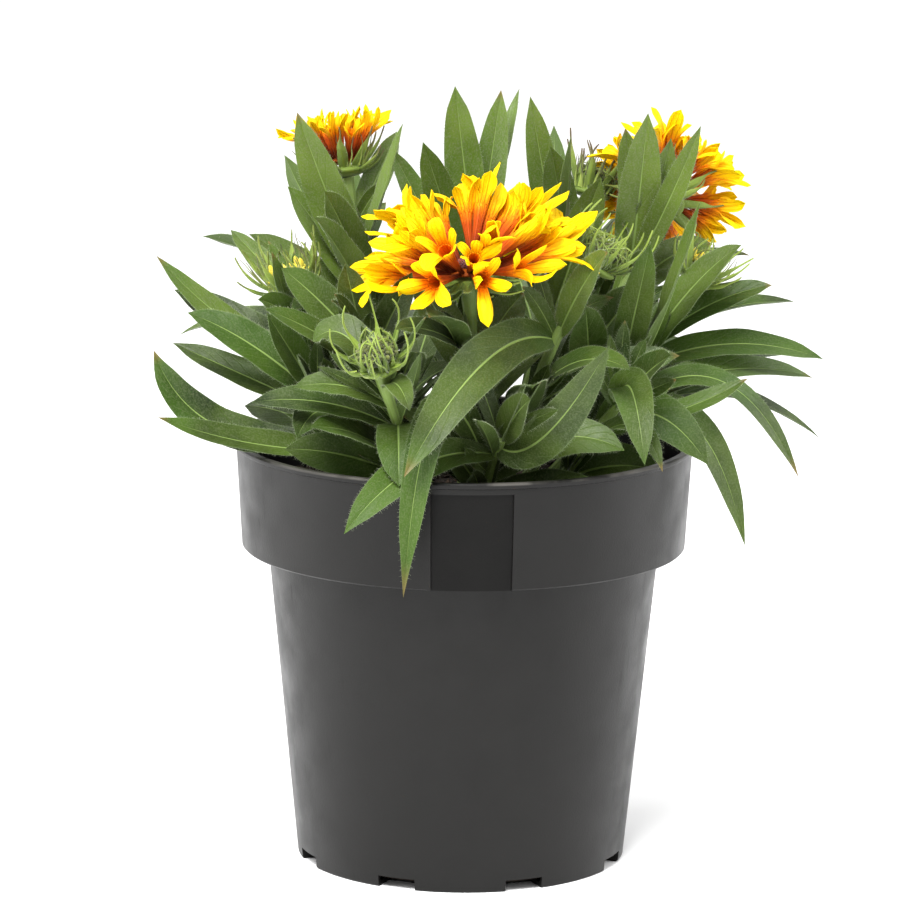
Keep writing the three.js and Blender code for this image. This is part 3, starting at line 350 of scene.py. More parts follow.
class Body:
    """Collects bent copies of shapes into one piece."""

    def __init__(self):
        self.parts = []
        self.count = 0

    def add(self, shape, points, skin, growth, surface=0):
        """Copies of a shape: points are (copies, corners, 3) in millimetres, skin is the place on the
        surface, (copies, corners, 2), and growth is four shares that the finishes read."""
        points = np.asarray(points, float)
        if points.ndim == 2:
            points = points[None]
        copies, corners = points.shape[:2]
        skin = np.broadcast_to(skin, (copies, corners, 2))
        growth = np.asarray(growth, float)
        if growth.ndim == 2 and len(growth) == copies and copies != corners:
            growth = growth[:, None]
        growth = np.broadcast_to(growth, (copies, corners, 4))
        offsets = self.count + corners * np.arange(copies)
        self.parts.append((
            points.reshape(-1, 3), skin.reshape(-1, 2), growth.reshape(-1, 4),
            (shape.corners[None] + offsets[:, None]).ravel(), np.tile(shape.sizes, copies),
            np.full(copies * len(shape.sizes), surface),
        ))
        self.count += copies * corners

    def finish(self, name, looks, nodes, sharp):
        """Makes the piece that stands for the nodes. Edges over sharp degrees stay sharp."""
        points, skin, growth, corners, sizes, surfaces = (
            np.concatenate(column) for column in zip(*self.parts))
        mesh = bpy.data.meshes.new(name)
        mesh.vertices.add(len(points))
        mesh.vertices.foreach_set("co", (points * MM).ravel())
        mesh.loops.add(len(corners))
        mesh.loops.foreach_set("vertex_index", corners)
        mesh.polygons.add(len(sizes))
        mesh.polygons.foreach_set("loop_start", np.concatenate([[0], np.cumsum(sizes)[:-1]]))
        mesh.polygons.foreach_set("material_index", surfaces)
        mesh.update(calc_edges=True)
        layer = mesh.uv_layers.new(name="skin")
        layer.data.foreach_set("uv", skin[corners].ravel())
        shares = mesh.color_attributes.new("growth", "FLOAT_COLOR", "POINT")
        shares.data.foreach_set("color", growth.ravel())
        place_piece(name, mesh, looks, nodes)
        mesh.shade_smooth()
        mesh.set_sharp_from_angle(angle=math.radians(sharp))


def place_piece(name, mesh, looks, nodes):
    piece = bpy.data.objects.new(name, mesh)
    bpy.context.scene.collection.objects.link(piece)
    for look in looks:
        mesh.materials.append(look)
    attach(piece, BODY)
    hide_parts(*nodes)
    return piece


def slab_shape(across, along):
    """A closed slab: x from -1 to 1, y from 0 to 1, its upper face at z 0 and its lower at z -1."""
    bm = bmesh.new()
    bmesh.ops.create_grid(bm, x_segments=across, y_segments=along, size=1)
    grown = bmesh.ops.extrude_face_region(bm, geom=bm.faces[:])["geom"]
    lower = [item for item in grown if isinstance(item, bmesh.types.BMVert)]
    bmesh.ops.translate(bm, verts=lower, vec=(0, 0, -1))
    bmesh.ops.scale(bm, verts=bm.verts, vec=(1, 0.5, 1))
    bmesh.ops.translate(bm, verts=bm.verts, vec=(0, 0.5, 0))
    bmesh.ops.recalc_face_normals(bm, faces=bm.faces)
    return Shape(bm)


def rod_shape(around, along):
    """A closed rod of radius 1 round z, from z 0 to 1, in rings."""
    bm = bmesh.new()
    bmesh.ops.create_cone(bm, cap_ends=True, segments=around, radius1=1, radius2=1, depth=1)
    uprights = [edge for edge in bm.edges if abs(edge.verts[0].co.z - edge.verts[1].co.z) > 0.5]
    bmesh.ops.subdivide_edges(bm, edges=uprights, cuts=along - 1)
    bmesh.ops.translate(bm, verts=bm.verts, vec=(0, 0, 0.5))
    return Shape(bm)


def spike_shape():
    """A closed three-sided spike of radius 1 that rises from z 0 to its point at z 1."""
    bm = bmesh.new()
    bmesh.ops.create_cone(bm, cap_ends=True, segments=3, radius1=1, radius2=0, depth=1)
    bmesh.ops.remove_doubles(bm, verts=bm.verts, dist=1e-5)
    bmesh.ops.translate(bm, verts=bm.verts, vec=(0, 0, 0.5))
    return Shape(bm)


def pebble_shape():
    bm = bmesh.new()
    bmesh.ops.create_icosphere(bm, subdivisions=1, radius=1)
    return Shape(bm)


def sleeve_shape(around, along):
    """A tube with a wall: outer radius 1, inner radius 0.5, from z 0 to 1."""
    bm = bmesh.new()
    section = [bm.verts.new(corner) for corner in ((1, 0, 0), (1, 0, 1), (0.5, 0, 1), (0.5, 0, 0))]
    sides = [bm.edges.new((section[k], section[(k + 1) % 4])) for k in range(4)]
    bmesh.ops.subdivide_edges(bm, edges=[sides[0], sides[2]], cuts=along - 1)
    bmesh.ops.spin(
        bm, geom=bm.verts[:] + bm.edges[:], cent=(0, 0, 0), axis=(0, 0, 1), angle=TURN, steps=around,
        use_merge=True)
    bmesh.ops.remove_doubles(bm, verts=bm.verts, dist=1e-5)
    bmesh.ops.recalc_face_normals(bm, faces=bm.faces)
    return Shape(bm)


def ball_shape(around, rings):
    bm = bmesh.new()
    bmesh.ops.create_uvsphere(bm, u_segments=around, v_segments=rings, radius=1)
    return Shape(bm)


def along_path(shape, path, radius):
    """A rod or spike bent along a path: its points, and (round, along) for each."""
    path = np.asarray(path, float)
    tangent, side, other = carried_frames(path)
    share = shape.points[:, 2]
    stations = np.linspace(0, 1, len(path))

    def at(values):
        return np.stack([np.interp(share, stations, values[:, axis]) for axis in range(3)], -1)

    size = np.interp(share, stations, radius)[:, None]
    points = at(path) + size * (shape.points[:, :1] * at(side) + shape.points[:, 1:2] * at(other))
    turn = np.arctan2(shape.points[:, 1], shape.points[:, 0])
    return points, np.stack([np.abs(turn) / math.pi, share], -1)


def spikes(shape, roots, headings, lengths, radii):
    """Straight copies of a spike, one for each root."""
    headings = unit(headings)
    helper = np.where(np.abs(headings[:, 2:]) < 0.9, UP, np.array((1.0, 0.0, 0.0)))
    side = unit(np.cross(headings, helper))
    other = np.cross(headings, side)
    local = shape.points
    return (
        roots[:, None]
        + radii[:, None, None] * (local[None, :, :1] * side[:, None] + local[None, :, 1:2] * other[:, None])
        + lengths[:, None, None] * local[None, :, 2:] * headings[:, None])


# ------------------------------------------------------------------ finding what the solids hold


class Solid:
    """The corners of a CAD node, in millimetres, for finding which pieces it holds and how they were bent."""

    def __init__(self, node):
        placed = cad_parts[node]
        vertices = placed.data.vertices
        self.tree = KDTree(len(vertices))
        for index, vertex in enumerate(vertices):
            self.tree.insert((placed.matrix_world @ vertex.co) / MM, index)
        self.tree.balance()

    def hits(self, points):
        return sum(self.tree.find(Vector(point))[2] < SAME_PLACE for point in np.atleast_2d(points))

    def way_of(self, ways, tips):
        """The way of bending whose tips are corners of this solid, or None where it was left out."""
        scores = [self.hits(tips(way)) for way in ways]
        best = max(scores)
        return ways[scores.index(best)] if best else None


def stem_line(shoot):
    """A stem's curve over the soil: its foot, its bend and its top."""
    return (np.array((*shoot.root, SOIL_TOP), float), shoot.bend, shoot.top)


def named_leaves(shoot):
    return [Leaf(height, tip, *shape) for height, tip, shape in shoot.leaves]


def fill_leaves(shoot, number):
    """The leaves that fill a stem up, in a spiral round it."""
    draw = seeded(100 + number)
    leaves = []
    for k in range(shoot.fill):
        height = FILL["from"] + (shoot.fill_top - FILL["from"]) * (k + 0.5) / shoot.fill
        base = bezier(stem_line(shoot), height)
        spiral = ((number * 67 + k * 137.5) % 360) / 360 - 0.5
        heading = math.atan2(base[1], base[0]) + math.radians(FILL["spread"] * spiral)
        length = lerp(*FILL["length"], draw())
        rise = lerp(*FILL["rise"], draw())
        tip = base + length * rising(heading, rise)
        width = lerp(*FILL["width"], draw())
        arch = lerp(*FILL["arch"], draw())
        face = (-1 if base[1] > FILL["behind"] else 1) * lerp(*FILL["face"], draw())
        leaves.append(Leaf(height, tip, width, arch, face, 0.5))
    return leaves


def blade_line(root, leaf, way):
    """The curve of a blade's middle, bent in one of the ways."""
    turn, rise, kept = way
    x, y, z = np.asarray(leaf.tip, float) - root
    heading = math.atan2(y, x) + math.radians(turn)
    angle = math.atan2(z, math.hypot(x, y)) + math.radians(rise)
    tip = root + math.sqrt(x * x + y * y + z * z) * kept * rising(heading, math.degrees(angle))
    return root, lerp(root, tip, leaf.reach) + 2 * leaf.arch * UP, tip


class HeadFrame:
    """A head's own frame: at its stem's top, +Z along the stem's end."""

    def __init__(self, shoot):
        axis = Vector(shoot.top) - Vector(shoot.bend)
        self.turn = np.array(Vector(UP).rotation_difference(axis).to_matrix())
        self.origin = np.array(shoot.top, float)

    def place(self, points):
        return np.asarray(points) @ self.turn.T + self.origin


Spur = namedtuple("Spur", "start heading rise length width curl")
Floret = namedtuple("Floret", "start heading rise length spin size row")


def bracts_of(head):
    """The bracts that the solid has, in the head's frame."""
    draw = seeded(head["core"] * 100)
    found = []
    for row, (count, length, width, rise, curl) in enumerate(head["bracts"]):
        for k in range(count):
            heading = TURN * (k + row * 0.5 + 0.2 * (draw() - 0.5)) / count
            start = head["core"] * 0.72 * rising(heading, 0) + BRACT_ROW_HEIGHTS[row] * UP
            found.append(Spur(
                start, heading, rise + 10 * (draw() - 0.5), length * (0.9 + 0.2 * draw()), width,
                curl * (0.8 + 0.4 * draw())))
    return found


def rays_of(head):
    """The trumpet-shaped florets that the solid has, in the head's frame."""
    draw = seeded(head["core"] * 1000 + 7)
    core = head["core"] * CORE_SHARE
    found = []
    for row, (count, length, rise) in enumerate(head["rays"]["rows"]):
        for k in range(count):
            heading = TURN * (k + row * 0.5 + 0.3 * (draw() - 0.5)) / count
            size = 0.88 + 0.24 * draw()
            start = core * ROOT_SHARES[row] * rising(heading, 0) + (CALYX_HEIGHT + SEAT_GAP + 1.6) * UP
            found.append(Floret(
                start, heading, rise + 12 * (draw() - 0.5), length * size, TURN * draw(), size, row))
    return found


def young_florets_of(head):
    """The young florets that the solid has, in the head's frame."""
    draw = seeded(head["core"] * 500 + 3)
    core = head["core"] * CORE_SHARE
    found = []
    for row, (count, length, rise) in enumerate(head["florets"]["rows"]):
        for k in range(count):
            heading = TURN * (k + row * 0.5) / count
            start = core * ROOT_SHARES[row] * rising(heading, 0) + (CALYX_HEIGHT + SEAT_GAP + 1) * UP
            found.append(Spur(
                start, heading, rise + 14 * (draw() - 0.5), length, head["florets"]["width"], 20))
    return found


def spur_line(spur, way, share):
    """Points on a spur's middle line, in the head's frame."""
    turn, lift = way
    facing = spur.heading + math.radians(turn)
    steps = (np.arange(8) + 0.5) / 8
    share = np.atleast_1d(np.asarray(share, float))
    directions = rising(facing, spur.rise + lift + spur.curl * share[:, None] * steps)
    return spur.start + directions.mean(1) * (spur.length * share)[:, None]


def trumpet_frame(floret, way, bend, share):
    """Centre, direction, across and above of a trumpet's middle line at shares of its length."""
    turn, lift = way
    facing = floret.heading + math.radians(turn)
    steps = (np.arange(12) + 0.5) / 12
    share = np.atleast_1d(np.asarray(share, float))
    directions = rising(facing, floret.rise + lift + bend * share[:, None] * steps)
    centre = floret.start + directions.mean(1) * (floret.length * share)[:, None]
    direction = rising(facing, floret.rise + lift + bend * share)
    across = np.broadcast_to(rising(facing + math.pi / 2, 0), direction.shape)
    return centre, direction, across, np.cross(direction, across)


def trumpet_tips(floret, way, kind):
    """The corners of the mouth's lobes as the solid has them."""
    turn, lift = way
    facing = floret.heading + math.radians(turn)
    rise = floret.rise + lift
    end = floret.start + floret.length * (
        0.45 * rising(facing, rise) + 0.25 * rising(facing, rise + 0.6 * kind["bend"])
        + 0.3 * rising(facing, rise + kind["bend"]))
    direction = rising(facing, rise + kind["bend"])
    across = rising(facing + math.pi / 2, 0)
    above = np.cross(direction, across)
    angle = (floret.spin + TURN * np.arange(kind["lobes"]) / kind["lobes"])[:, None]
    return end + kind["mouth"] * floret.size * (np.cos(angle) * across + np.sin(angle) * above)


# ------------------------------------------------------------------ finishes

MIX_A, MIX_B, MIX_RESULT = 6, 7, 2  # places of the mix node's colour sockets


def shaded(colour, share):
    return tuple(share * part for part in colour)


class Look:
    """A material's node tree, built a node at a time."""

    def __init__(self, name):
        self.material = bpy.data.materials.new(name)
        self.material.use_nodes = True
        self.tree = self.material.node_tree
        self.shader = self.tree.nodes["Principled BSDF"]
        self.place = self.tree.nodes.new("ShaderNodeTexCoord").outputs["Object"]
        self.links = self.tree.links

    def feed(self, socket, value):
        if isinstance(value, bpy.types.NodeSocket):
            self.links.new(value, socket)
        elif socket.type == "RGBA":
            socket.default_value = (*value, 1)
        else:
            socket.default_value = value

    def node(self, kind, settings=(), **inputs):
        made = self.tree.nodes.new(kind)
        for key, value in dict(settings).items():
            setattr(made, key, value)
        for key, value in inputs.items():
            self.feed(made.inputs[key.replace("_", " ")], value)
        return made

    def skin(self):
        """Round or across, and along, from the piece's own UV map."""
        found = self.node("ShaderNodeUVMap", {"uv_map": "skin"})
        split = self.node("ShaderNodeSeparateXYZ", Vector=found.outputs["UV"])
        return split.outputs["X"], split.outputs["Y"]

    def growth(self):
        found = self.node("ShaderNodeAttribute", {"attribute_name": "growth"})
        split = self.node("ShaderNodeSeparateColor", Color=found.outputs["Color"])
        return split.outputs["Red"], split.outputs["Green"], split.outputs["Blue"]

    def math(self, operation, a, b=0.0):
        made = self.node("ShaderNodeMath", {"operation": operation})
        self.feed(made.inputs[0], a)
        self.feed(made.inputs[1], b)
        return made.outputs[0]

    def step(self, value, low, high, start=0.0, end=1.0):
        """A soft step from start to end as value goes from low to high."""
        made = self.node(
            "ShaderNodeMapRange", {"interpolation_type": "SMOOTHSTEP"},
            Value=value, From_Min=low, From_Max=high, To_Min=start, To_Max=end)
        return made.outputs["Result"]

    def mix(self, share, a, b):
        made = self.node("ShaderNodeMix", {"data_type": "RGBA"})
        self.feed(made.inputs["Factor"], share)
        self.feed(made.inputs[MIX_A], a)
        self.feed(made.inputs[MIX_B], b)
        return made.outputs[MIX_RESULT]

    def noise(self, scale, detail=3.0, vector=None, stretch=None, rough=0.5):
        vector = vector or self.place
        if stretch:
            vector = self.node("ShaderNodeMapping", Vector=vector, Scale=stretch).outputs["Vector"]
        made = self.node("ShaderNodeTexNoise", Vector=vector, Scale=scale, Detail=detail, Roughness=rough)
        return made.outputs["Fac"]

    def bump(self, height, distance, strength=1.0, under=None):
        made = self.node("ShaderNodeBump", Height=height)
        made.inputs["Distance"].default_value = distance
        made.inputs["Strength"].default_value = strength
        if under:
            self.links.new(under, made.inputs["Normal"])
        return made.outputs["Normal"]

    def done(self, colour, roughness, normal=None, **fixed):
        self.feed(self.shader.inputs["Base Color"], colour)
        self.feed(self.shader.inputs["Roughness"], roughness)
        if normal:
            self.feed(self.shader.inputs["Normal"], normal)
        for key, value in fixed.items():
            self.feed(self.shader.inputs[key.replace("_", " ")], value)
        return self.material


def leaf_look(name, sizes, stemmy=False):
    """Green skin: growth is (tone, underside, browning of the tip), skin is (across, along)."""
    look = Look(name)
    across, along = look.skin()
    tone, under, brown = look.growth()
    patches = look.step(look.noise(45, 3), 0.3, 0.7)
    # shade mostly follows the blade's tone, which follows its height: painted shade on low blades and painted
    # light on high ones, with patches of random tone
    shade = look.math("ADD", look.math("MULTIPLY", tone, 0.75), look.math("MULTIPLY", patches, 0.25))
    colour = look.mix(shade, sizes.upper_dark, sizes.upper_light)
    colour = look.mix(look.step(look.noise(13, 2), 0.48, 0.62, 0.0, 0.5), colour, sizes.fresh)
    # Grey down grows with tone, so high blades get more of it: partly the colour of the hairs, partly a
    # painted sheen of the light on them
    down_and_sheen = look.step(tone, 0.0, 1.0, 0.24, 0.62)
    down = look.math("MULTIPLY", look.step(look.noise(1500, 3), 0.4, 0.7), down_and_sheen)
    colour = look.mix(down, colour, sizes.down)
    colour = look.mix(look.math("MULTIPLY", under, 0.75), colour, sizes.underside)
    if not stemmy:
        middle = look.math("ABSOLUTE", look.math("SUBTRACT", across, 0.5))
        taper = look.math("SUBTRACT", 1.15, along)
        rib = look.step(look.math("DIVIDE", middle, taper), 0.02, 0.046, 1.0, 0.0)
        slant = look.math("SUBTRACT", look.math("MULTIPLY", along, 9.0), look.math("MULTIPLY", middle, 4.2))
        wobble = look.math("MULTIPLY", look.noise(120, 2), 0.5)
        ladder = look.math("FRACT", look.math("ADD", slant, wobble))
        veins = look.step(look.math("ABSOLUTE", look.math("SUBTRACT", ladder, 0.5)), 0.0, 0.09, 1.0, 0.0)
        colour = look.mix(look.math("MULTIPLY", veins, 0.05), colour, sizes.rib)
        colour = look.mix(look.math("MULTIPLY", rib, 0.85), colour, sizes.rib)
        spots = look.node("ShaderNodeTexVoronoi", Vector=look.place, Scale=62.0)
        speck = look.step(spots.outputs["Distance"], 0.03, 0.08, 1.0, 0.0)
        speck = look.math("MULTIPLY", speck, look.step(tone, 0.75, 0.95))
        colour = look.mix(look.math("MULTIPLY", speck, 0.35), colour, sizes.speck)
        margin = look.step(middle, 0.465, 0.5)
        colour = look.mix(look.math("MULTIPLY", margin, 0.35), colour, sizes.margin)
        tip = look.math("MULTIPLY", look.step(along, 0.93, 1.0), brown)
        colour = look.mix(tip, colour, sizes.withered)
        relief = look.math("ADD", look.math("MULTIPLY", rib, -0.6), look.math("MULTIPLY", veins, -0.25))
        normal = look.bump(relief, 0.0003)
    else:
        ridges = look.math("SINE", look.math("MULTIPLY", across, 28.0))
        normal = look.bump(ridges, 0.00008)
        flush = look.step(look.noise(90, 2), 0.3, 0.75, 0.25, 0.7)
        colour = look.mix(flush, colour, sizes.rib)
    normal = look.bump(look.noise(1500, 2), 0.00012, 0.7, normal)
    rough = look.step(look.noise(300, 2), 0.2, 0.8, 0.40, 0.55)
    return look.done(
        colour, rough, normal, Specular_IOR_Level=0.24, Sheen_Weight=0.02, Sheen_Roughness=0.45,
        Sheen_Tint=(0.85, 0.9, 0.75), Subsurface_Weight=0.04, Subsurface_Radius=(0.002, 0.003, 0.001),
        Subsurface_Scale=0.3)


def hair_look(name, colour):
    look = Look(name)
    shade = look.step(look.noise(200, 2), 0.3, 0.7)
    tint = look.mix(shade, shaded(colour, 0.7), colour)
    return look.done(tint, 0.55, None, Specular_IOR_Level=0.35, Sheen_Weight=0.2)


def ray_look(name, sizes):
    """Yellow lobes, an orange throat and a streaked tube: skin is (across a lobe, along the floret)."""
    look = Look(name)
    across, along = look.skin()
    tone, inside, _ = look.growth()
    streak = look.noise(9.0, 3, vector=look.node(
        "ShaderNodeCombineXYZ", X=look.math("MULTIPLY", across, 1.4), Y=look.math("MULTIPLY", along, 0.35),
        Z=look.math("MULTIPLY", tone, 3.0)).outputs["Vector"])
    ragged = look.math("ADD", along, look.math("MULTIPLY", look.math("SUBTRACT", streak, 0.5), 0.26))
    ragged = look.math("ADD", ragged, look.math("MULTIPLY", look.math("SUBTRACT", tone, 0.5), 0.1))
    colour = look.mix(look.step(ragged, 0.10, 0.38), sizes.maroon, sizes.tube)
    colour = look.mix(look.step(ragged, 0.42, 0.62), colour, sizes.throat)
    colour = look.mix(look.step(ragged, 0.56, 0.74), colour, sizes.lobe)
    colour = look.mix(look.step(ragged, 0.72, 0.94), colour, sizes.lobe_tip)
    blush = look.step(look.noise(210, 3), 0.45, 0.7, 0.0, 0.5)
    colour = look.mix(look.math("MULTIPLY", blush, look.step(along, 0.55, 0.65)), colour, sizes.lobe)
    lines = look.math("ADD", 2.0, look.math("GREATER_THAN", along, 0.6))
    veins = look.math("FRACT", look.math("MULTIPLY", across, lines))
    veins = look.step(look.math("ABSOLUTE", look.math("SUBTRACT", veins, 0.5)), 0.0, 0.2, 1.0, 0.0)
    dark = look.math("MULTIPLY", veins, look.step(ragged, 0.36, 0.80, 0.85, 0.0))
    colour = look.mix(dark, colour, sizes.maroon)
    faint = look.math("MULTIPLY", veins, look.step(along, 0.5, 0.85, 0.3, 0.0))
    colour = look.mix(faint, colour, sizes.throat)
    glow = look.math("MULTIPLY", inside, look.step(along, 0.56, 0.74, 0.8, 0.0))
    colour = look.mix(glow, colour, sizes.throat)
    normal = look.bump(look.math("SUBTRACT", look.noise(900, 2), look.math("MULTIPLY", veins, 0.9)), 0.0003)
    return look.done(
        colour, look.step(look.noise(400, 2), 0.2, 0.8, 0.5, 0.68), normal, Specular_IOR_Level=0.1,
        Subsurface_Weight=0.12, Subsurface_Radius=(0.004, 0.0025, 0.0002), Subsurface_Scale=0.4)


def bract_look(name, sizes):
    """Pale green, hairy, purplish towards the tips where growth's third share says so."""
    look = Look(name)
    across, along = look.skin()
    tone, under, flush = look.growth()
    patches = look.step(look.noise(160, 3), 0.3, 0.7)
    shade = look.math("ADD", look.math("MULTIPLY", tone, 0.6), look.math("MULTIPLY", patches, 0.4))
    colour = look.mix(shade, sizes.bract_dark, sizes.bract_light)
    down = look.step(look.noise(1500, 2), 0.4, 0.75, 0.0, 0.25)
    colour = look.mix(down, colour, sizes.bract_down)
    colour = look.mix(look.math("MULTIPLY", under, 0.4), colour, sizes.bract_down)
    middle = look.math("ABSOLUTE", look.math("SUBTRACT", across, 0.5))
    rib = look.step(middle, 0.05, 0.16, 0.6, 0.0)
    colour = look.mix(rib, colour, sizes.bract_light)
    colour = look.mix(look.step(along, 0.25, 0.75, 0.0, 0.75), colour, sizes.bract_thread)
    tip = look.math("MULTIPLY", look.step(along, 0.45, 0.95), flush)
    colour = look.mix(tip, colour, sizes.bract_tip)
    normal = look.bump(look.noise(1200, 2), 0.0002)
    return look.done(
        colour, look.step(look.noise(400, 2), 0.2, 0.8, 0.5, 0.7), normal, Specular_IOR_Level=0.25,
        Sheen_Weight=0.08, Sheen_Roughness=0.5, Sheen_Tint=(0.9, 0.95, 0.8), Subsurface_Weight=0.05,
        Subsurface_Radius=(0.002, 0.003, 0.001), Subsurface_Scale=0.3)


def floret_look(name, base, tip):
    """Small closed florets, from base colour to tip colour along each."""
    look = Look(name)
    _, along = look.skin()
    tone, _, _ = look.growth()
    wobble = look.math("SUBTRACT", look.noise(500, 2), 0.5)
    share = look.math("ADD", along, look.math("MULTIPLY", wobble, 0.5))
    colour = look.mix(look.step(share, 0.2, 0.95), base, tip)
    colour = look.mix(look.math("MULTIPLY", tone, 0.45), colour, shaded(base, 0.5))
    normal = look.bump(look.noise(1600, 2), 0.00018)
    return look.done(
        colour, look.step(look.noise(600, 2), 0.2, 0.8, 0.5, 0.75), normal, Specular_IOR_Level=0.3,
        Sheen_Weight=0.3, Sheen_Roughness=0.5, Subsurface_Weight=0.1,
        Subsurface_Radius=(0.002, 0.001, 0.0005), Subsurface_Scale=0.3)


def pot_look(name, colour, rim, shine=0.2):
    """Moulded charcoal plastic: faint flow lines, scuffs, dust, and a rim lightened by wear and a painted
    highlight.
    """
    look = Look(name)
    dark, pale = shaded(colour, 0.82), shaded(colour, 1.3)
    cloud = look.step(look.noise(22, 4), 0.3, 0.7)
    tint = look.mix(cloud, dark, colour)
    scuffs = look.noise(260, 5, stretch=(1.0, 1.0, 0.12), rough=0.7)
    tint = look.mix(look.step(scuffs, 0.6, 0.8, 0.0, 0.3), tint, pale)
    dust = look.step(look.noise(900, 3), 0.66, 0.8, 0.0, 0.25)
    tint = look.mix(dust, tint, shaded(colour, 3.2))
    height = look.node("ShaderNodeSeparateXYZ", Vector=look.place).outputs["Z"]
    # A thin lighter line round the top of the rim: partly wear, partly a painted highlight of the bead
    # catching the light
    at_rim = look.step(height, rim - 0.0010, rim - 0.0004)
    rim_wear_and_highlight = look.math("MULTIPLY", at_rim, look.step(look.noise(45, 4), 0.42, 0.62))
    tint = look.mix(look.math("MULTIPLY", rim_wear_and_highlight, 0.8), tint, shaded(colour, 14))
    rough = look.step(look.noise(75, 4), 0.25, 0.75, 0.33, 0.46)
    rough = look.math("ADD", rough, look.step(scuffs, 0.55, 0.8, 0.0, 0.14))
    normal = look.bump(look.noise(1400, 3), 0.00006, 0.8)
    normal = look.bump(look.noise(35, 2), 0.0006, 0.25, normal)
    return look.done(tint, rough, normal, Specular_IOR_Level=shine)


def soil_look(name, colour):
    look = Look(name)
    tone, _, _ = look.growth()
    grain = look.step(look.noise(420, 4), 0.3, 0.7)
    tint = look.mix(grain, shaded(colour, 0.35), colour)
    tint = look.mix(look.step(tone, 0.55, 1.0, 0.0, 0.8), tint, shaded(colour, 2.6))
    normal = look.bump(look.noise(900, 4), 0.0008)
    rough = look.step(look.noise(300, 2), 0.3, 0.7, 0.75, 0.97)
    return look.done(tint, rough, normal, Specular_IOR_Level=0.25)


def floor_look(name, colour):
    look = Look(name)
    tint = look.mix(look.step(look.noise(3, 3), 0.3, 0.7), shaded(colour, 0.97), colour)
    return look.done(tint, look.step(look.noise(12, 3), 0.3, 0.7, 0.55, 0.7), None, Specular_IOR_Level=0.2)


# ------------------------------------------------------------------ settings


def length_property(name, description, default):
    return FloatProperty(name=name, description=description, default=default, unit="LENGTH", precision=4)


def colour_property(name, description, default):
    return FloatVectorProperty(
        name=name, description=description, default=default, subtype="COLOR", min=0, max=1)


class PotSettings(bpy.types.PropertyGroup):
    height: length_property("Height", "From the ground to the rim", 0.164)
    rim_radius: length_property("Rim radius", "Outside, at the bead", 0.089)
    collar_foot_radius: length_property("Collar foot radius", "Outside, where the collar steps out", 0.0857)
    collar_height: length_property("Collar height", "From the step to the rim", 0.0415)
    neck_radius: length_property("Neck radius", "Outside, just under the collar", 0.0756)
    foot_radius: length_property("Foot radius", "Outside, on the ground", 0.0636)
    wall: length_property("Wall", "Thickness of the body's wall", 0.0018)
    collar_wall: length_property("Collar wall", "Thickness of the collar's wall", 0.0022)
    lip: length_property("Lip", "How far the bead stands out", 0.001)
    lip_height: length_property("Lip height", "How deep the bead is", 0.0024)
    panel_width: length_property("Panel width", "Of the sunk label panel", 0.033)
    panel_depth: length_property("Panel depth", "How deep the label panel is sunk", 0.0011)
    panel_gap: length_property("Panel gap", "From the rim down to the panel", 0.0044)
    panel_slope: length_property("Panel slope", "Width of the panel's slanting right side", 0.0028)
    floor: length_property("Floor", "Thickness of the pot's floor", 0.002)
    slot_width: length_property("Slot width", "Of each drain slot", 0.015)
    slots: IntProperty(name="Slots", description="How many drain slots", default=8, min=0)
    colour: colour_property("Colour", "Of the plastic", (0.0050, 0.0047, 0.0042))


class SoilSettings(bpy.types.PropertyGroup):
    top: length_property("Top", "Height of the soil's surface", 0.141)
    crumbs: IntProperty(name="Crumbs", description="How many crumbs lie on the soil", default=2600, min=0)
    crumb_size: length_property("Crumb size", "Radius of a middling crumb", 0.0011)
    colour: colour_property("Colour", "Of damp peat", (0.028, 0.019, 0.013))


class LeafSettings(bpy.types.PropertyGroup):
    across: IntProperty(name="Across", description="Faces across a blade", default=12, min=6)
    along: IntProperty(name="Along", description="Faces along a blade", default=27, min=9)
    thickness: length_property("Thickness", "Of a blade beside its rib", 0.0005)
    rib_depth: length_property("Rib depth", "How far the rib stands out underneath", 0.0011)
    cup: FloatProperty(
        name="Cup", description="Rise of the margins as a share of half the width", default=0.34)
    wave: FloatProperty(
        name="Wave", description="Height of the margins' waves as a share of half the width", default=0.07)
    hair_length: length_property("Hair length", "Of the hairs on margins and stems", 0.0011)
    hair_gap: length_property("Hair gap", "Between the hairs of a margin", 0.00054)
    # Blades lean to the dark colour low in the plant and to the light one high up: partly age, partly painted
    # shade low down and painted light on top
    upper_dark: colour_property("Upper side, dark", "Of old leaves", (0.006, 0.016, 0.001))
    upper_light: colour_property("Upper side, light", "Of young leaves", (0.118, 0.185, 0.020))
    fresh: colour_property("Fresh green", "Of the greenest patches", (0.040, 0.093, 0.005))
    underside: colour_property("Underside", "Of the blades", (0.052, 0.085, 0.018))
    down: colour_property("Down", "Greyish bloom of tiny hairs", (0.135, 0.160, 0.080))
    rib: colour_property("Rib", "Midrib and veins", (0.20, 0.29, 0.075))
    margin: colour_property("Margin", "Thin edge of the blades", (0.15, 0.20, 0.09))
    speck: colour_property("Specks", "Pale specks on old leaves", (0.30, 0.36, 0.13))
    withered: colour_property("Withered", "Dry leaf tips", (0.16, 0.10, 0.03))
    hair: colour_property("Hairs", "Of leaves and stems", (0.30, 0.35, 0.21))


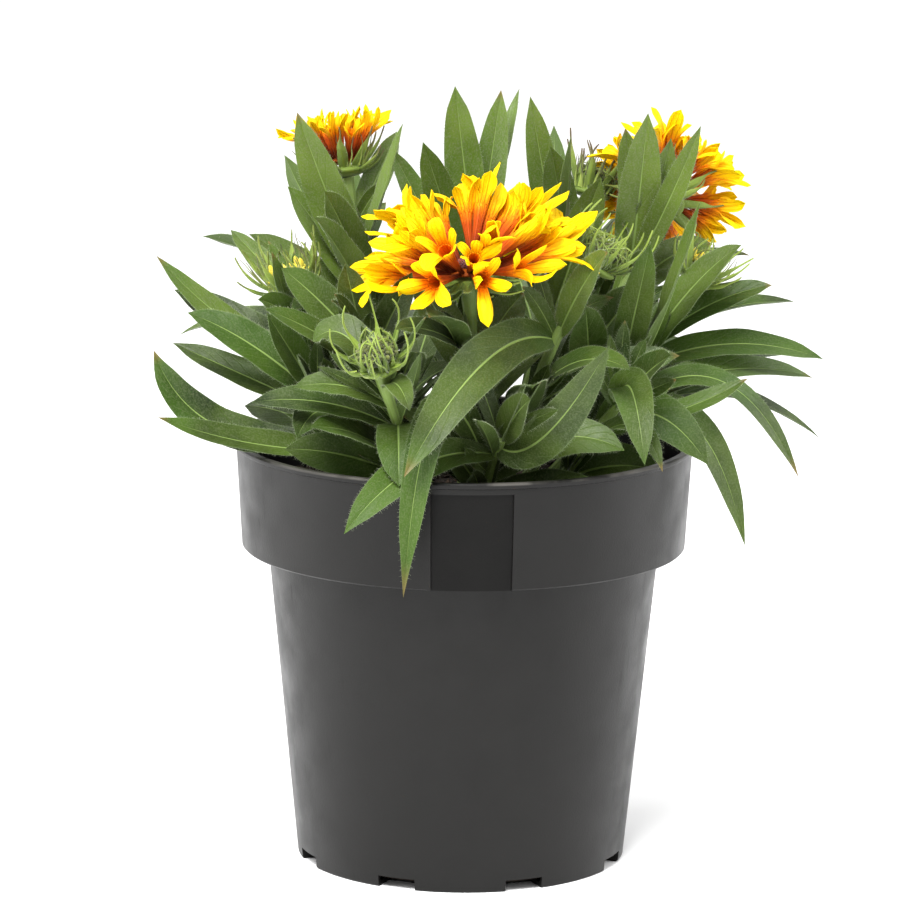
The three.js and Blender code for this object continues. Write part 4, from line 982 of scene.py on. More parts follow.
class BloomSettings(bpy.types.PropertyGroup):
    lobe_share: FloatProperty(name="Lobe width", description="As a share of the mouth's radius", default=0.73)
    wall: length_property("Wall", "Thickness of a floret's wall", 0.0003)
    maroon: colour_property("Maroon", "At the foot of a floret", (0.07, 0.006, 0.003))
    tube: colour_property("Tube", "Of a floret", (0.41, 0.055, 0.004))
    throat: colour_property("Throat", "Where the tube opens", (0.80, 0.20, 0.002))
    lobe: colour_property("Lobe", "Of a floret", (0.84, 0.45, 0.001))
    lobe_tip: colour_property("Lobe tip", "Of a floret", (0.86, 0.58, 0.001))
    disc: colour_property("Disc", "Foot of the disc's florets", (0.085, 0.010, 0.008))
    disc_tip: colour_property("Disc tip", "Tips of the disc's florets", (0.26, 0.045, 0.015))
    young: colour_property("Young florets", "Their foot", (0.20, 0.27, 0.03))
    young_tip: colour_property("Young tips", "Their tips", (0.74, 0.58, 0.03))
    bract_dark: colour_property("Bract, dark", "Green of the bracts", (0.045, 0.080, 0.010))
    bract_light: colour_property("Bract, light", "Green of the bracts", (0.190, 0.270, 0.032))
    bract_down: colour_property("Bract down", "Bloom of tiny hairs", (0.13, 0.18, 0.05))
    bract_thread: colour_property(
        "Bract thread", "Where a bract draws out into a thread", (0.20, 0.275, 0.04))
    bract_tip: colour_property("Bract tip", "Flush at the tips", (0.075, 0.035, 0.028))


class BudSettings(bpy.types.PropertyGroup):
    thread_radius: length_property("Thread radius", "At a thread's foot", 0.00036)
    thread_dark: colour_property("Thread, dark", "Green of the threads", (0.09, 0.14, 0.014))
    thread_light: colour_property("Thread, light", "Green of the threads", (0.26, 0.34, 0.05))
    bristle: colour_property("Bristle", "Tips of the bristles", (0.045, 0.040, 0.022))
    dome: colour_property("Dome", "Foot of the closed florets", (0.028, 0.040, 0.006))
    dome_tip: colour_property("Dome tips", "Tips of the closed florets", (0.11, 0.13, 0.02))


class StageSettings(bpy.types.PropertyGroup):
    floor_size: length_property("Floor size", "Length of the floor's side", 24.0)
    floor_colour: colour_property("Floor colour", "Of the plain floor", (0.94, 0.94, 0.94))
    key_power: FloatProperty(
        name="Key light", description="Power of the high front light in watts", default=80)
    side_power: FloatProperty(
        name="Side lights", description="Power of each side light in watts", default=15)
    world_strength: FloatProperty(
        name="Surroundings", description="Strength of the white surroundings", default=1.0)


# ------------------------------------------------------------------ the stage

CAMERA_PLACE = (0.0, -2.02025, 0.56235)
CAMERA_PITCH = 0.197
CAMERA_YAW = 0.00274
CAMERA_ROLL = 0.0093
CAMERA_LENS = 213.4
SENSOR = 36.0


def area_light(name, place, target, size, power):
    data = bpy.data.lights.new(name, "AREA")
    data.shape = "RECTANGLE"
    data.size, data.size_y = size
    data.energy = power
    light = bpy.data.objects.new(name, data)
    light.location = place
    light.rotation_euler = (Vector(target) - Vector(place)).to_track_quat("-Z", "Y").to_euler()
    bpy.context.scene.collection.objects.link(light)


class STAGE_OT_lay(bpy.types.Operator):
    """Lay the floor, hang the lights and set the camera"""

    bl_idname = "flower.lay_stage"
    bl_label = "Stage"

    def execute(self, context):
        sizes = context.scene.flower_stage
        data = bpy.data.cameras.new("camera")
        data.lens, data.sensor_width = CAMERA_LENS, SENSOR
        data.clip_end = 100
        camera = bpy.data.objects.new("camera", data)
        camera.matrix_world = (
            Matrix.Translation(CAMERA_PLACE) @ Matrix.Rotation(CAMERA_YAW, 4, "Z")
            @ Matrix.Rotation(math.pi / 2 - CAMERA_PITCH, 4, "X") @ Matrix.Rotation(CAMERA_ROLL, 4, "Z"))
        context.scene.collection.objects.link(camera)
        context.scene.camera = camera
        context.scene.view_settings.view_transform = "Standard"

        bm = bmesh.new()
        bmesh.ops.create_grid(bm, x_segments=1, y_segments=1, size=sizes.floor_size / 2)
        mesh = bpy.data.meshes.new("floor")
        bm.to_mesh(mesh)
        bm.free()
        mesh.materials.append(floor_look("pale_floor", sizes.floor_colour))
        floor = bpy.data.objects.new("floor", mesh)
        context.scene.collection.objects.link(floor)

        middle = (0, 0, 0.18)
        area_light("high_softbox", (-0.45, -1.1, 1.75), middle, (1.1, 0.9), sizes.key_power)
        area_light("left_softbox", (-1.3, -0.1, 0.5), middle, (0.7, 1.3), sizes.side_power)
        area_light("right_softbox", (1.3, 0.0, 0.5), middle, (0.7, 1.3), sizes.side_power)

        world = bpy.data.worlds.new("white_studio")
        context.scene.world = world
        world.use_nodes = True
        background = world.node_tree.nodes["Background"]
        background.inputs["Color"].default_value = (1, 1, 1, 1)
        background.inputs["Strength"].default_value = sizes.world_strength
        return {"FINISHED"}


# ------------------------------------------------------------------ pot


def spun_mesh(name, profile, steps):
    """A closed ring of profile points, spun round z."""
    bm = bmesh.new()
    points = [bm.verts.new((radius, 0, height)) for radius, height in profile]
    for k, point in enumerate(points):
        bm.edges.new((point, points[(k + 1) % len(points)]))
    bmesh.ops.spin(
        bm, geom=bm.verts[:] + bm.edges[:], cent=(0, 0, 0), axis=(0, 0, 1), angle=TURN, steps=steps,
        use_merge=True)
    bmesh.ops.remove_doubles(bm, verts=bm.verts, dist=1e-6)
    bmesh.ops.dissolve_degenerate(bm, edges=bm.edges, dist=1e-6)
    bmesh.ops.recalc_face_normals(bm, faces=bm.faces)
    mesh = bpy.data.meshes.new(name)
    bm.to_mesh(mesh)
    bm.free()
    return mesh


def cutter_object(name, bm):
    mesh = bpy.data.meshes.new(name)
    bm.to_mesh(mesh)
    bm.free()
    cutter = bpy.data.objects.new(name, mesh)
    bpy.context.scene.collection.objects.link(cutter)
    return cutter


def cut(mesh, cutters):
    """The mesh less the cutters, which are used up."""
    body = bpy.data.objects.new("being_cut", mesh)
    bpy.context.scene.collection.objects.link(body)
    for cutter in cutters:
        step = body.modifiers.new(cutter.name, "BOOLEAN")
        step.object, step.operation, step.solver = cutter, "DIFFERENCE", "EXACT"
    graph = bpy.context.evaluated_depsgraph_get()
    made = bpy.data.meshes.new_from_object(body.evaluated_get(graph))
    for used in (body, *cutters):
        bpy.data.objects.remove(used)
    return made


def panel_cutter(sizes):
    """What is cut from the collar's front for the label panel: it runs out through the collar's foot."""
    half = math.asin(sizes.panel_width / 2 / sizes.collar_foot_radius)
    foot, top = sizes.height - sizes.collar_height - 0.002, sizes.height - sizes.panel_gap
    inner = sizes.collar_foot_radius - sizes.panel_depth
    bm = bmesh.new()
    outside = 0.12  # well clear of the pot
    upper = inner + sizes.rim_radius - sizes.lip - sizes.collar_foot_radius
    section = [(inner, foot), (outside, foot), (outside, top), (upper, top)]
    face = bm.faces.new([bm.verts.new((radius, 0, height)) for radius, height in section])
    bmesh.ops.spin(
        bm, geom=[face], cent=(0, 0, 0), axis=(0, 0, 1), angle=2 * half, steps=18, use_merge=False)
    bmesh.ops.recalc_face_normals(bm, faces=bm.faces)
    narrowed = 1 - sizes.panel_slope / sizes.collar_foot_radius / (2 * half)
    for vertex in bm.verts:
        radius, angle = math.hypot(vertex.co.x, vertex.co.y), math.atan2(vertex.co.y, vertex.co.x)
        if radius < sizes.rim_radius:
            angle *= narrowed
        angle += math.radians(PANEL_AZIMUTH) - half
        vertex.co.x, vertex.co.y = radius * math.cos(angle), radius * math.sin(angle)
    return cutter_object("panel_cutter", bm)


class POT_OT_mould(bpy.types.Operator):
    """Mould the nursery pot with its collar, label panel and drain slots"""

    bl_idname = "flower.mould_pot"
    bl_label = "Nursery pot"

    def execute(self, context):
        sizes = context.scene.flower_pot
        top, foot = sizes.height, sizes.height - sizes.collar_height
        collar_top = sizes.rim_radius - sizes.lip
        lip_foot = top - sizes.lip_height
        profile = [
            (0, 0), (sizes.foot_radius - EDGE, 0), (sizes.foot_radius, EDGE),
            (sizes.neck_radius, foot - EDGE), (sizes.neck_radius + 0.0004, foot - EDGE / 2),
            (sizes.collar_foot_radius - EDGE, foot), (sizes.collar_foot_radius, foot + EDGE),
            (collar_top, lip_foot), (sizes.rim_radius - 0.0002, lip_foot + 0.0004),
            (sizes.rim_radius, lip_foot + 0.0009), (sizes.rim_radius, top - EDGE),
            (sizes.rim_radius - EDGE, top), (collar_top - sizes.collar_wall + 0.0005, top),
            (collar_top - sizes.collar_wall, top - 0.0005),
            (sizes.collar_foot_radius - sizes.collar_wall, foot + 0.0024),
            (sizes.neck_radius - sizes.wall, foot + 0.001), (sizes.foot_radius - sizes.wall, sizes.floor),
            (0, sizes.floor),
        ]
        mesh = spun_mesh("nursery_pot", profile, SPUN_STEPS["pot"])
        cutters = [panel_cutter(sizes)]
        for k in range(sizes.slots):
            bm = bmesh.new()
            bmesh.ops.create_cube(bm, size=1)
            bmesh.ops.scale(bm, verts=bm.verts, vec=(0.022, sizes.slot_width, 0.009))
            bmesh.ops.translate(bm, verts=bm.verts, vec=(sizes.foot_radius, 0, 0))
            angle = TURN * (k + 0.5) / sizes.slots
            bmesh.ops.rotate(bm, verts=bm.verts, cent=(0, 0, 0), matrix=Matrix.Rotation(angle, 3, "Z"))
            cutters.append(cutter_object(f"slot_cutter_{k}", bm))
        made = cut(mesh, cutters)
        made.materials.clear()
        colour = sizes.colour
        # The sunk label panel gets a darker, less shiny copy of the plastic: painted shade of the recess
        looks = [pot_look("charcoal_plastic", colour, sizes.height),
                 pot_look("panel_plastic_shaded", shaded(colour, 0.64), sizes.height, 0.11)]
        sunk = sizes.rim_radius - sizes.lip - 0.5 * sizes.panel_depth
        for face in made.polygons:
            x, y, z = face.center
            deep = math.hypot(x, y) < sunk - (sizes.height - z) / sizes.collar_height * (
                sizes.rim_radius - sizes.lip - sizes.collar_foot_radius)
            face.material_index = int(
                deep and y < 0 and abs(x) < sizes.panel_width * 0.7 and z > foot - 0.002
                and face.normal.y < -0.8 and math.hypot(x, y) > sizes.neck_radius + 0.002)
        pot = place_piece("nursery_pot_body", made, looks, ["pot"])
        made.shade_smooth()
        made.set_sharp_from_angle(angle=math.radians(32))
        pot.data.name = "nursery_pot_body"
        return {"FINISHED"}


# ------------------------------------------------------------------ soil


class SOIL_OT_fill(bpy.types.Operator):
    """Fill the pot with crumbly compost"""

    bl_idname = "flower.fill_soil"
    bl_label = "Compost"

    def execute(self, context):
        sizes = context.scene.flower_soil
        low, high = (np.array(corner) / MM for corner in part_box("soil"))
        edge = min(high[0], high[1], -low[0], -low[1]) - 0.3
        top = sizes.top / MM
        rings = 26
        pot = context.scene.flower_pot
        foot, step = (pot.floor / MM + SEAT_GAP, (pot.height - pot.collar_height) / MM)
        foot_radius, neck, collar = (
            (radius - wall) / MM - 0.9 for radius, wall in (
                (pot.foot_radius, pot.wall), (pot.neck_radius, pot.wall),
                (pot.collar_foot_radius, pot.collar_wall)))
        wall = [
            (0, foot), (foot_radius - 3, foot), (foot_radius, foot + 6), (neck, step), (neck, step + 3.2),
            (collar, step + 3.2), (edge, top - 1.2)]
        surface = [(edge * (1 - (k + 0.5) / rings), top) for k in range(rings)]
        profile = [(radius * MM, height * MM) for radius, height in [*wall, *surface, (0, top)]]
        mesh = spun_mesh("compost", profile, SPUN_STEPS["soil"])
        bm = bmesh.new()
        bm.from_mesh(mesh)
        bm.verts.ensure_lookup_table()
        for vertex in bm.verts:
            if vertex.co.z > sizes.top - 1e-5:
                place = vertex.co / MM
                lift = sum(size * noise.noise(place / width) for size, width in SOIL_BUMPS)
                vertex.co.z += max(-1.5, min(1.5, lift)) * MM
        shape = Shape(bm)
        soil = Body()
        soil.add(shape, shape.points / MM, (0, 0), (0.2, 0, 0, 1))
        random = np.random.default_rng(4)
        count = sizes.crumbs
        radius = edge * 0.985 * np.sqrt(random.random(count))
        heading = TURN * random.random(count)
        roots = np.stack([radius * np.cos(heading), radius * np.sin(heading), np.full(count, top + 0.2)], -1)
        pebble = pebble_shape()
        size = sizes.crumb_size / MM * np.exp(random.normal(0, 0.35, count))
        size = np.minimum(size, 2.2)
        warp = 1 + 0.35 * random.normal(size=(count, len(pebble.points), 1)).clip(-1.4, 1.4)
        squash = np.stack(
            [1 + 0.5 * random.random(count), np.ones(count), 0.6 + 0.4 * random.random(count)], -1)
        crumbs = roots[:, None] + size[:, None, None] * pebble.points[None] * warp * squash[:, None]
        soil.add(pebble, crumbs, (0, 0), growth_of(count, random.random(count) ** 2))
        soil.finish("compost_fill", [soil_look("damp_peat", sizes.colour)], ["soil"], sharp=50)
        bpy.data.meshes.remove(mesh)
        return {"FINISHED"}


# ------------------------------------------------------------------ leafy stems


def outline(along):
    """The share of its full width that a blade has at a place along it."""
    swell = np.power(np.maximum(np.sin(math.pi * np.clip(along, 0, 1)), 0), BLADE["fullness"])
    lower = BLADE["base_share"] + (1 - BLADE["base_share"]) * swell
    pointed = np.power(np.clip((1 - along) / BLADE["point"], 0, 1), BLADE["point_power"])
    return np.where(along < 0.5, lower, swell * pointed)


class BladeMaker:
    """Bends a slab into a leaf blade with a rib, cupped and waved margins and hairs."""

    def __init__(self, sizes):
        self.slab = slab_shape(sizes.across, sizes.along)
        self.small_slab = slab_shape(sizes.across // 3, sizes.along // 3)
        self.hair = spike_shape()
        self.sizes = sizes

    def section(self, leaf, line, along, character):
        """The place, side, upwards direction and half width at shares of the blade's length."""
        place = bezier(line, along)
        tangent = bezier_heading(line, along)
        face = math.radians(leaf.face)
        wanted = np.array((0, -math.sin(face), math.cos(face)))
        normal = unit(wanted - tangent * (tangent @ wanted)[:, None])
        side = np.cross(tangent, normal)
        side, normal = turned(side, normal, character["twist"] * along)
        return place, tangent, side, normal, outline(along) * leaf.width / 2

    def relief(self, across, along, half, character):
        """How far the blade stands above its middle line."""
        taper = np.minimum(1, 4 * along) * (1 - 0.5 * along)
        cup = character["cup"] * half * np.abs(across) ** 1.3 * taper
        wave = character["wave"] * half * across ** 2 * np.sin(
            TURN * (character["waves"] * along + character["phase"] + 0.22 * np.sign(across)))
        groove = -0.22 * np.exp(-((across * half) / 0.55) ** 2)
        return cup + wave * taper + groove

    def grow(self, body, leaf, line, random):
        sizes = self.sizes
        character = {
            "cup": sizes.cup * random.uniform(0.35, 1.6), "wave": sizes.wave * random.uniform(0.4, 1.5),
            "waves": random.uniform(2.2, 3.6), "phase": random.random(), "twist": random.normal(0, 0.13),
        }
        # tone is mostly the height of the blade's tip, so low blades come out darker as painted shade and
        # high ones lighter as painted light; the random part is real variety
        tone = 0.30 * random.random() ** 1.4 + 0.70 * float(smooth(206, 292, line[2][2]))
        brown = float(random.random() < 0.3) * random.uniform(0.4, 1)
        slab = self.slab if leaf.width > SMALL_LEAF else self.small_slab
        x, along, lower = slab.points[:, 0], slab.points[:, 1], slab.points[:, 2] < -0.5
        across = np.sign(x) * np.abs(x) ** 1.35
        place, tangent, side, normal, half = self.section(leaf, line, along, character)
        height = self.relief(across, along, half, character)
        at_rib = np.exp(-(across * half) ** 2)
        under = sizes.thickness / MM * (1 - 0.55 * np.abs(across)) + (
            sizes.rib_depth / MM * at_rib * (1 - 0.8 * along))
        under *= np.clip(8 * (1 - along), 0.25, 1)
        height = height - under * lower
        points = place + side * (across * half)[:, None] + normal * height[:, None]
        skin = np.stack([(across + 1) / 2, along], -1)
        body.add(slab, points, skin, growth_of(len(points), tone, lower, brown))
        self.hairs(body, leaf, line, character, random)

    def sprout(self, body, leaf, root, random):
        """Small young leaves in the corner between a leaf and its stem."""
        x, y, _ = np.asarray(leaf.tip, float) - root
        low = root[2] < LOW_ROOT
        for _ in range(3 if low else 2):
            heading = math.atan2(y, x) + random.normal(0, 0.7)
            tip = root + random.uniform(16, 42 if low else 34) * rising(heading, random.uniform(25, 75))
            small = Leaf(
                leaf.height, tip, random.uniform(4.5, SMALL_LEAF), random.uniform(-1, 3),
                leaf.face + random.normal(0, 20), 0.5)
            self.grow(body, small, (root, lerp(root, tip, 0.5) + 2 * small.arch * UP, tip), random)

    def hairs(self, body, leaf, line, character, random):
        sizes = self.sizes
        length = np.linalg.norm(line[2] - line[0])
        count = int(length / (sizes.hair_gap / MM))
        edge = np.tile([-1.0, 1.0], count)
        along = np.clip(np.linspace(0.04, 0.97, 2 * count) + random.normal(0, 0.004, 2 * count), 0.02, 0.985)
        place, tangent, side, normal, half = self.section(leaf, line, along, character)
        height = self.relief(edge, along, half, character)
        roots = place + side * (edge * half * 0.99)[:, None] + normal * (height - 0.1)[:, None]
        heading = side * edge[:, None] + tangent * random.uniform(0.1, 0.8, (2 * count, 1)) + (
            normal * random.normal(0, 0.45, (2 * count, 1)))
        self.add_hairs(body, roots, heading, random)
        few = count // 2
        along = random.uniform(0.05, 0.95, few)
        across = random.uniform(-0.9, 0.9, few)
        place, tangent, side, normal, half = self.section(leaf, line, along, character)
        height = self.relief(across, along, half, character) - sizes.thickness / MM * 0.7
        roots = place + side * (across * half)[:, None] + normal * height[:, None]
        heading = -normal + tangent * random.uniform(0.2, 1.2, (few, 1)) + (
            side * random.normal(0, 0.4, (few, 1)))
        self.add_hairs(body, roots, heading, random, 0.75)

    def add_hairs(self, body, roots, heading, random, size=1.0):
        count = len(roots)
        lengths = size * self.sizes.hair_length / MM * random.uniform(0.55, 1.35, count)
        points = spikes(self.hair, roots, heading, lengths, np.full(count, HAIR_RADIUS["leaf"]))
        body.add(self.hair, points, (0.5, 0.5), (0.5, 0, 0, 1), 1)


class LEAF_OT_grow(bpy.types.Operator):
    """Grow each stem with its leaves and hairs"""

    bl_idname = "flower.grow_leaves"
    bl_label = "Leafy stems"

    def execute(self, context):
        sizes = context.scene.flower_leaves
        maker = BladeMaker(sizes)
        rod = rod_shape(*FACES["stem"])
        looks = [
            leaf_look("leaf_skin", sizes), hair_look("leaf_hair", sizes.hair),
            leaf_look("stem_skin", sizes, stemmy=True)]
        for number, shoot in enumerate(SHOOTS):
            solid = Solid(shoot.name)
            random = np.random.default_rng(40 + number)
            body = Body()
            self.grow_stem(body, rod, maker, shoot, random)
            for leaf in [*named_leaves(shoot), *fill_leaves(shoot, number)]:
                root = bezier(stem_line(shoot), leaf.height)
                way = solid.way_of(LEAF_BENDS, lambda way: blade_line(root, leaf, way)[2])
                if way is None:
                    continue
                leaf_random = np.random.default_rng(1000 * number + int(1000 * leaf.height) + len(body.parts))
                maker.grow(body, leaf, blade_line(root, leaf, way), leaf_random)
                maker.sprout(body, leaf, root, leaf_random)
            body.finish(shoot.name.replace("stem_", "leafy_stem_"), looks, [shoot.name], sharp=50)
        return {"FINISHED"}

    def grow_stem(self, body, rod, maker, shoot, random):
        line = stem_line(shoot)
        foot = line[0]
        straight = [foot + lift * UP for lift in (-STEM["buried"], -10, -2, 0, STEM["straight"])]
        shares = np.linspace(0.12, 1, 24)
        path = np.array([*straight, *bezier(line, shares)])
        radius = lerp(STEM["foot_radius"], STEM["top_radius"], shares)
        if shoot.head:
            radius = radius + STEM["flare"] * smooth(0.72, 1, shares)
        radius = np.concatenate([np.full(len(straight), STEM["foot_radius"]), radius])
        points, skin = along_path(rod, path, radius)
        tone = random.uniform(0.55, 0.9)
        body.add(rod, points, skin, (tone, 0.35, 0, 1), 2)
        count = HAIRS["stem"]
        share = random.uniform(0.05, 0.99, count)
        tangent = bezier_heading(line, share)
        side = unit(np.cross(tangent, np.array((0.3, 1, 0.1))))
        other = np.cross(tangent, side)
        turn = random.uniform(0, TURN, (count, 1))
        outward = side * np.cos(turn) + other * np.sin(turn)
        reach = lerp(STEM["foot_radius"], STEM["top_radius"], share) - 0.15
        roots = bezier(line, share) + outward * reach[:, None]
        maker.add_hairs(body, roots, outward + tangent * random.normal(0.1, 0.3, (count, 1)), random, 1.15)


# ------------------------------------------------------------------ flower heads


class HeadMaker:
    """Makes the parts of the flower heads from the solids' own plan."""

    def __init__(self, blooms, buds, leaves):
        self.blooms, self.buds = blooms, buds
        self.bract_slab = slab_shape(*FACES["bract"])
        self.thread = rod_shape(*FACES["thread"])
        self.hair = spike_shape()
        self.dome = ball_shape(*FACES["dome"])
        self.small = rod_shape(*FACES["floret"])
        self.tube = sleeve_shape(*FACES["tube"])
        self.tongue = slab_shape(*FACES["lobe"])
        self.bract_skin = bract_look("bract_skin", blooms)
        self.hair_skin = hair_look("bract_hair", leaves.hair)
        self.ray_skin = ray_look("ray_skin", blooms)
        self.disc_skin = floret_look("disc_skin", blooms.disc, blooms.disc_tip)
        self.young_skin = floret_look("young_floret_skin", blooms.young, blooms.young_tip)
        self.dome_skin = floret_look("bud_dome_skin", buds.dome, buds.dome_tip)
        self.thread_skin = floret_look("thread_skin", buds.thread_dark, buds.thread_light)
        self.bristle_skin = floret_look("bristle_skin", buds.thread_light, buds.bristle)

    def hairs(self, body, placed, roots, heading, random, size=0.9):
        count = len(roots)
        lengths = size * random.uniform(0.5, 1.3, count)
        points = spikes(self.hair, roots, heading, lengths, np.full(count, HAIR_RADIUS["head"]))
        body.add(self.hair, placed.place(points), (0.5, 0.5), (0.5, 0, 0, 1), 1)

    def cushion(self, body, placed, radius, low, high, growth, surface=0, skin=(0.2, 0.3)):
        """A rounded core from low to high."""
        local = self.dome.points
        points = np.stack([
            radius * local[:, 0], radius * local[:, 1], lerp(low, high, (local[:, 2] + 1) / 2)], -1)
        body.add(self.dome, placed.place(points), skin, growth, surface)

    def bract(self, body, placed, spur, way, random, thread_from, flush):
        """A leafy bract whose tip draws out into a thread."""
        slab = self.bract_slab
        across, along = slab.points[:, 0], slab.points[:, 1]
        lower = slab.points[:, 2] < -0.5
        facing = spur.heading + math.radians(way[0])
        centre = spur_line(spur, way, along)
        angle = spur.rise + way[1] + spur.curl * along
        normal = rising(facing, angle + 90)
        side = -rising(facing + math.pi / 2, 0)
        free = np.clip((along - 0.45) / 0.55, 0, 1)
        swing = random.normal(0, 1.6) * free ** 2 + random.uniform(0.3, 1.1) * free * np.sin(
            TURN * (random.uniform(0.6, 1.3) * along + random.random()))
        half = spur.width / 2 * (1 - 0.3 * np.exp(-20 * along) - 0.7 * along ** 1.5)
        thin = smooth(thread_from, min(1.0, thread_from + 0.3), along)
        half = lerp(half, np.full_like(half, 0.3), thin) * np.clip(14 * (1 - along), 0.35, 1)
        cup = 0.35 * half * np.abs(across) ** 1.5
        height = cup - lower * lerp(0.45 + 0.35 * (1 - np.abs(across)), 0.5, thin)
        points = centre + side * (across * half + swing)[:, None] + normal * height[:, None]
        skin = np.stack([(across + 1) / 2, along], -1)
        growth = growth_of(len(points), random.random(), lower, flush)
        body.add(slab, placed.place(points), skin, growth)
        count = HAIRS["bract"]
        share = random.uniform(0.02, 0.9, count)
        edge = np.sign(random.normal(size=count))
        centre = spur_line(spur, way, share)
        normal = rising(facing, spur.rise + way[1] + spur.curl * share + 90)
        tangent = rising(facing, spur.rise + way[1] + spur.curl * share)
        half = spur.width / 2 * (1 - 0.7 * share ** 1.5)
        on_edge = random.random(count) < 0.6
        offset = np.where(on_edge, edge, random.uniform(-0.8, 0.8, count))
        sunk = np.where(on_edge, 0.2, 0.5)
        roots = centre + side * (offset * half * 0.85)[:, None] - normal * sunk[:, None]
        heading = side * (offset * 1.2)[:, None] + tangent * 0.5 + (
            normal * np.where(on_edge, random.normal(0, 0.4, count), -1.0)[:, None])
        self.hairs(body, placed, roots, heading, random)

    def calyx(self, name, shoot, head, random):
        """The receptacle with its bracts, and on a bud the closed florets and curling threads too."""
        placed = HeadFrame(shoot)
        solid = Solid(name)
        body = Body()
        core = head["core"]
        self.cushion(body, placed, core, 0.2, CALYX_HEIGHT, (0.5, 0.2, 0, 1))
        for spur in bracts_of(head):
            way = solid.way_of(HEAD_BENDS, lambda way: placed.place(spur_line(spur, way, 1.0)))
            if way is not None:
                self.bract(
                    body, placed, spur, way, random, head.get("thread_from", THREAD_FROM), head["flush"])
        if "inner" in head:
            count, length, width, rise, curl = head["inner"]
            for k in range(count):
                heading = TURN * (k + random.uniform(-0.35, 0.35)) / count
                spur = Spur(
                    0.8 * core * rising(heading, 0) + 4.2 * UP, heading, random.uniform(*rise),
                    random.uniform(*length), width, random.uniform(*curl))
                self.bract(body, placed, spur, (0, 0), random, INNER_THREAD_FROM, head["flush"])
        count = HAIRS["calyx"]
        heading = random.uniform(0, TURN, count)
        height = random.uniform(0.4, 4.2, count)
        out = rising(heading, random.uniform(-40, 10, count))
        roots = rising(heading, 0) * (core * (0.62 + 0.09 * height))[:, None] + height[:, None] * UP
        self.hairs(body, placed, roots, out, random, 1.1)
        looks = [self.bract_skin, self.hair_skin]
        if "dome" in head:
            self.closed_florets(
                body, placed, core * 0.85, CALYX_HEIGHT - 0.5, CALYX_HEIGHT + head["dome"] + 1.5, random,
                count=70, size=1.0, length=2.4, surface=len(looks))
            self.threads(body, placed, head, random, len(looks) + 1)
            looks += [self.dome_skin, self.thread_skin]
        if "bristles" in head:
            self.wisps(body, placed, head["bristles"], random, len(looks))
            looks += [self.bristle_skin]
        body.finish(f"{shoot.head}_green", looks, [name], sharp=55)

    def closed_florets(self, body, placed, radius, low, high, random, count, size, length, surface=0):
        """Small florets packed in a spiral on a dome."""
        # The dome under the florets gets a high tone, so it comes out darker: painted shade in the gaps
        # between them
        self.cushion(body, placed, radius, low, high - 0.8, (0.9, 0, 0, 1), surface)
        k = np.arange(count)
        reach = np.sqrt((k + 0.5) / count)
        heading = k * math.radians(137.508)
        height = low + (high - 0.8 - low) * (0.5 + 0.5 * np.sqrt(np.maximum(0, 1 - reach ** 2)))
        roots = rising(heading, 0) * (radius * 0.97 * reach)[:, None] + (height - 0.4)[:, None] * UP
        lean = unit(rising(heading, 0) * (0.9 * reach)[:, None] + (1.05 - 0.6 * reach)[:, None] * UP)
        lean = unit(lean + random.normal(0, 0.08, lean.shape))
        swell = np.array([0.55, 0.9, 1.0, 0.8, 0.25])
        share = self.small.points[:, 2]
        ring = np.interp(share, np.linspace(0, 1, 5), swell)
        local = self.small.points * np.stack([ring, ring, np.ones_like(ring)], -1)
        side = unit(np.cross(lean, np.array((0.2, 0.9, 0.3))))
        other = np.cross(lean, side)
        scale = size * random.uniform(0.8, 1.15, count)[:, None, None]
        wide = local[None, :, :1] * side[:, None] + local[None, :, 1:2] * other[:, None]
        tall = length * scale / size * local[None, :, 2:] * lean[:, None]
        points = roots[:, None] + scale * wide + tall
        skin = np.broadcast_to(np.stack([np.full_like(share, 0.3), share], -1), (count, len(share), 2))
        growth = growth_of(count, random.random(count))
        body.add(self.small, placed.place(points), skin, growth, surface)

    def threads(self, body, placed, head, random, surface):
        """Fine threads that curl back over a bud's dome."""
        core = head["core"]
        count, shade = head["threads"]
        share = np.linspace(0, 1, PATH_POINTS)
        for k in range(count):
            heading = TURN * (k + random.uniform(-0.4, 0.4)) / count
            turn = heading + random.choice([-1, 1]) * random.uniform(0.2, 1.7) * share ** 1.5
            bulge = core * random.uniform(0.1, 0.75) * np.sin(math.pi * share ** 0.8)
            radius = core * 0.85 * (1 - random.uniform(0.15, 0.95) * share ** 1.6) + bulge
            height = 3.6 + (head["dome"] + random.uniform(1, 6)) * np.sin(
                share * math.pi / 2 * random.uniform(0.9, 1.5))
            wiggle = random.uniform(0.4, 1.2) * share * np.sin(
                TURN * (share * random.uniform(1.2, 2.8) + random.random()))
            path = rising(turn, 0) * (radius + wiggle)[:, None] + (height + 0.7 * wiggle)[:, None] * UP
            path = path + rising(turn + math.pi / 2, 0) * (0.8 * wiggle)[:, None]
            thick = self.buds.thread_radius / MM * np.interp(share, [0, 0.3, 1], [1.2, 0.8, 0.45])
            points, skin = along_path(self.thread, path, thick)
            body.add(self.thread, placed.place(points), skin, (random.uniform(*shade), 0, 0, 1), surface)

    def wisps(self, body, placed, bristles, random, surface):
        """Slender bristles that rise from a ring and bend inwards at their ends."""
        ring, count, length, lean, curl = bristles
        share = np.linspace(0, 1, PATH_POINTS)
        for k in range(count):
            heading = TURN * (k + random.uniform(-0.4, 0.4)) / count
            side = random.normal(0, 0.35)
            angle = random.uniform(*lean) + random.uniform(*curl) * share ** 1.4
            steps = rising(heading + side * share, angle) * (
                length * random.uniform(0.6, 1.15) / (PATH_POINTS - 1))
            wave = random.uniform(0.0, 0.5) * share * np.sin(TURN * (1.6 * share + random.random()))
            path = rising(heading, 0) * random.uniform(*ring) + BRISTLE_ROOT * UP + np.cumsum(steps, 0)
            path = path + rising(heading + math.pi / 2, 0) * wave[:, None]
            points, skin = along_path(
                self.thread, path, BRISTLE_RADIUS * np.interp(share, [0, 0.4, 1], [1.5, 1.0, 0.35]))
            body.add(self.thread, placed.place(points), skin, (random.random(), 0, 0, 1), surface)

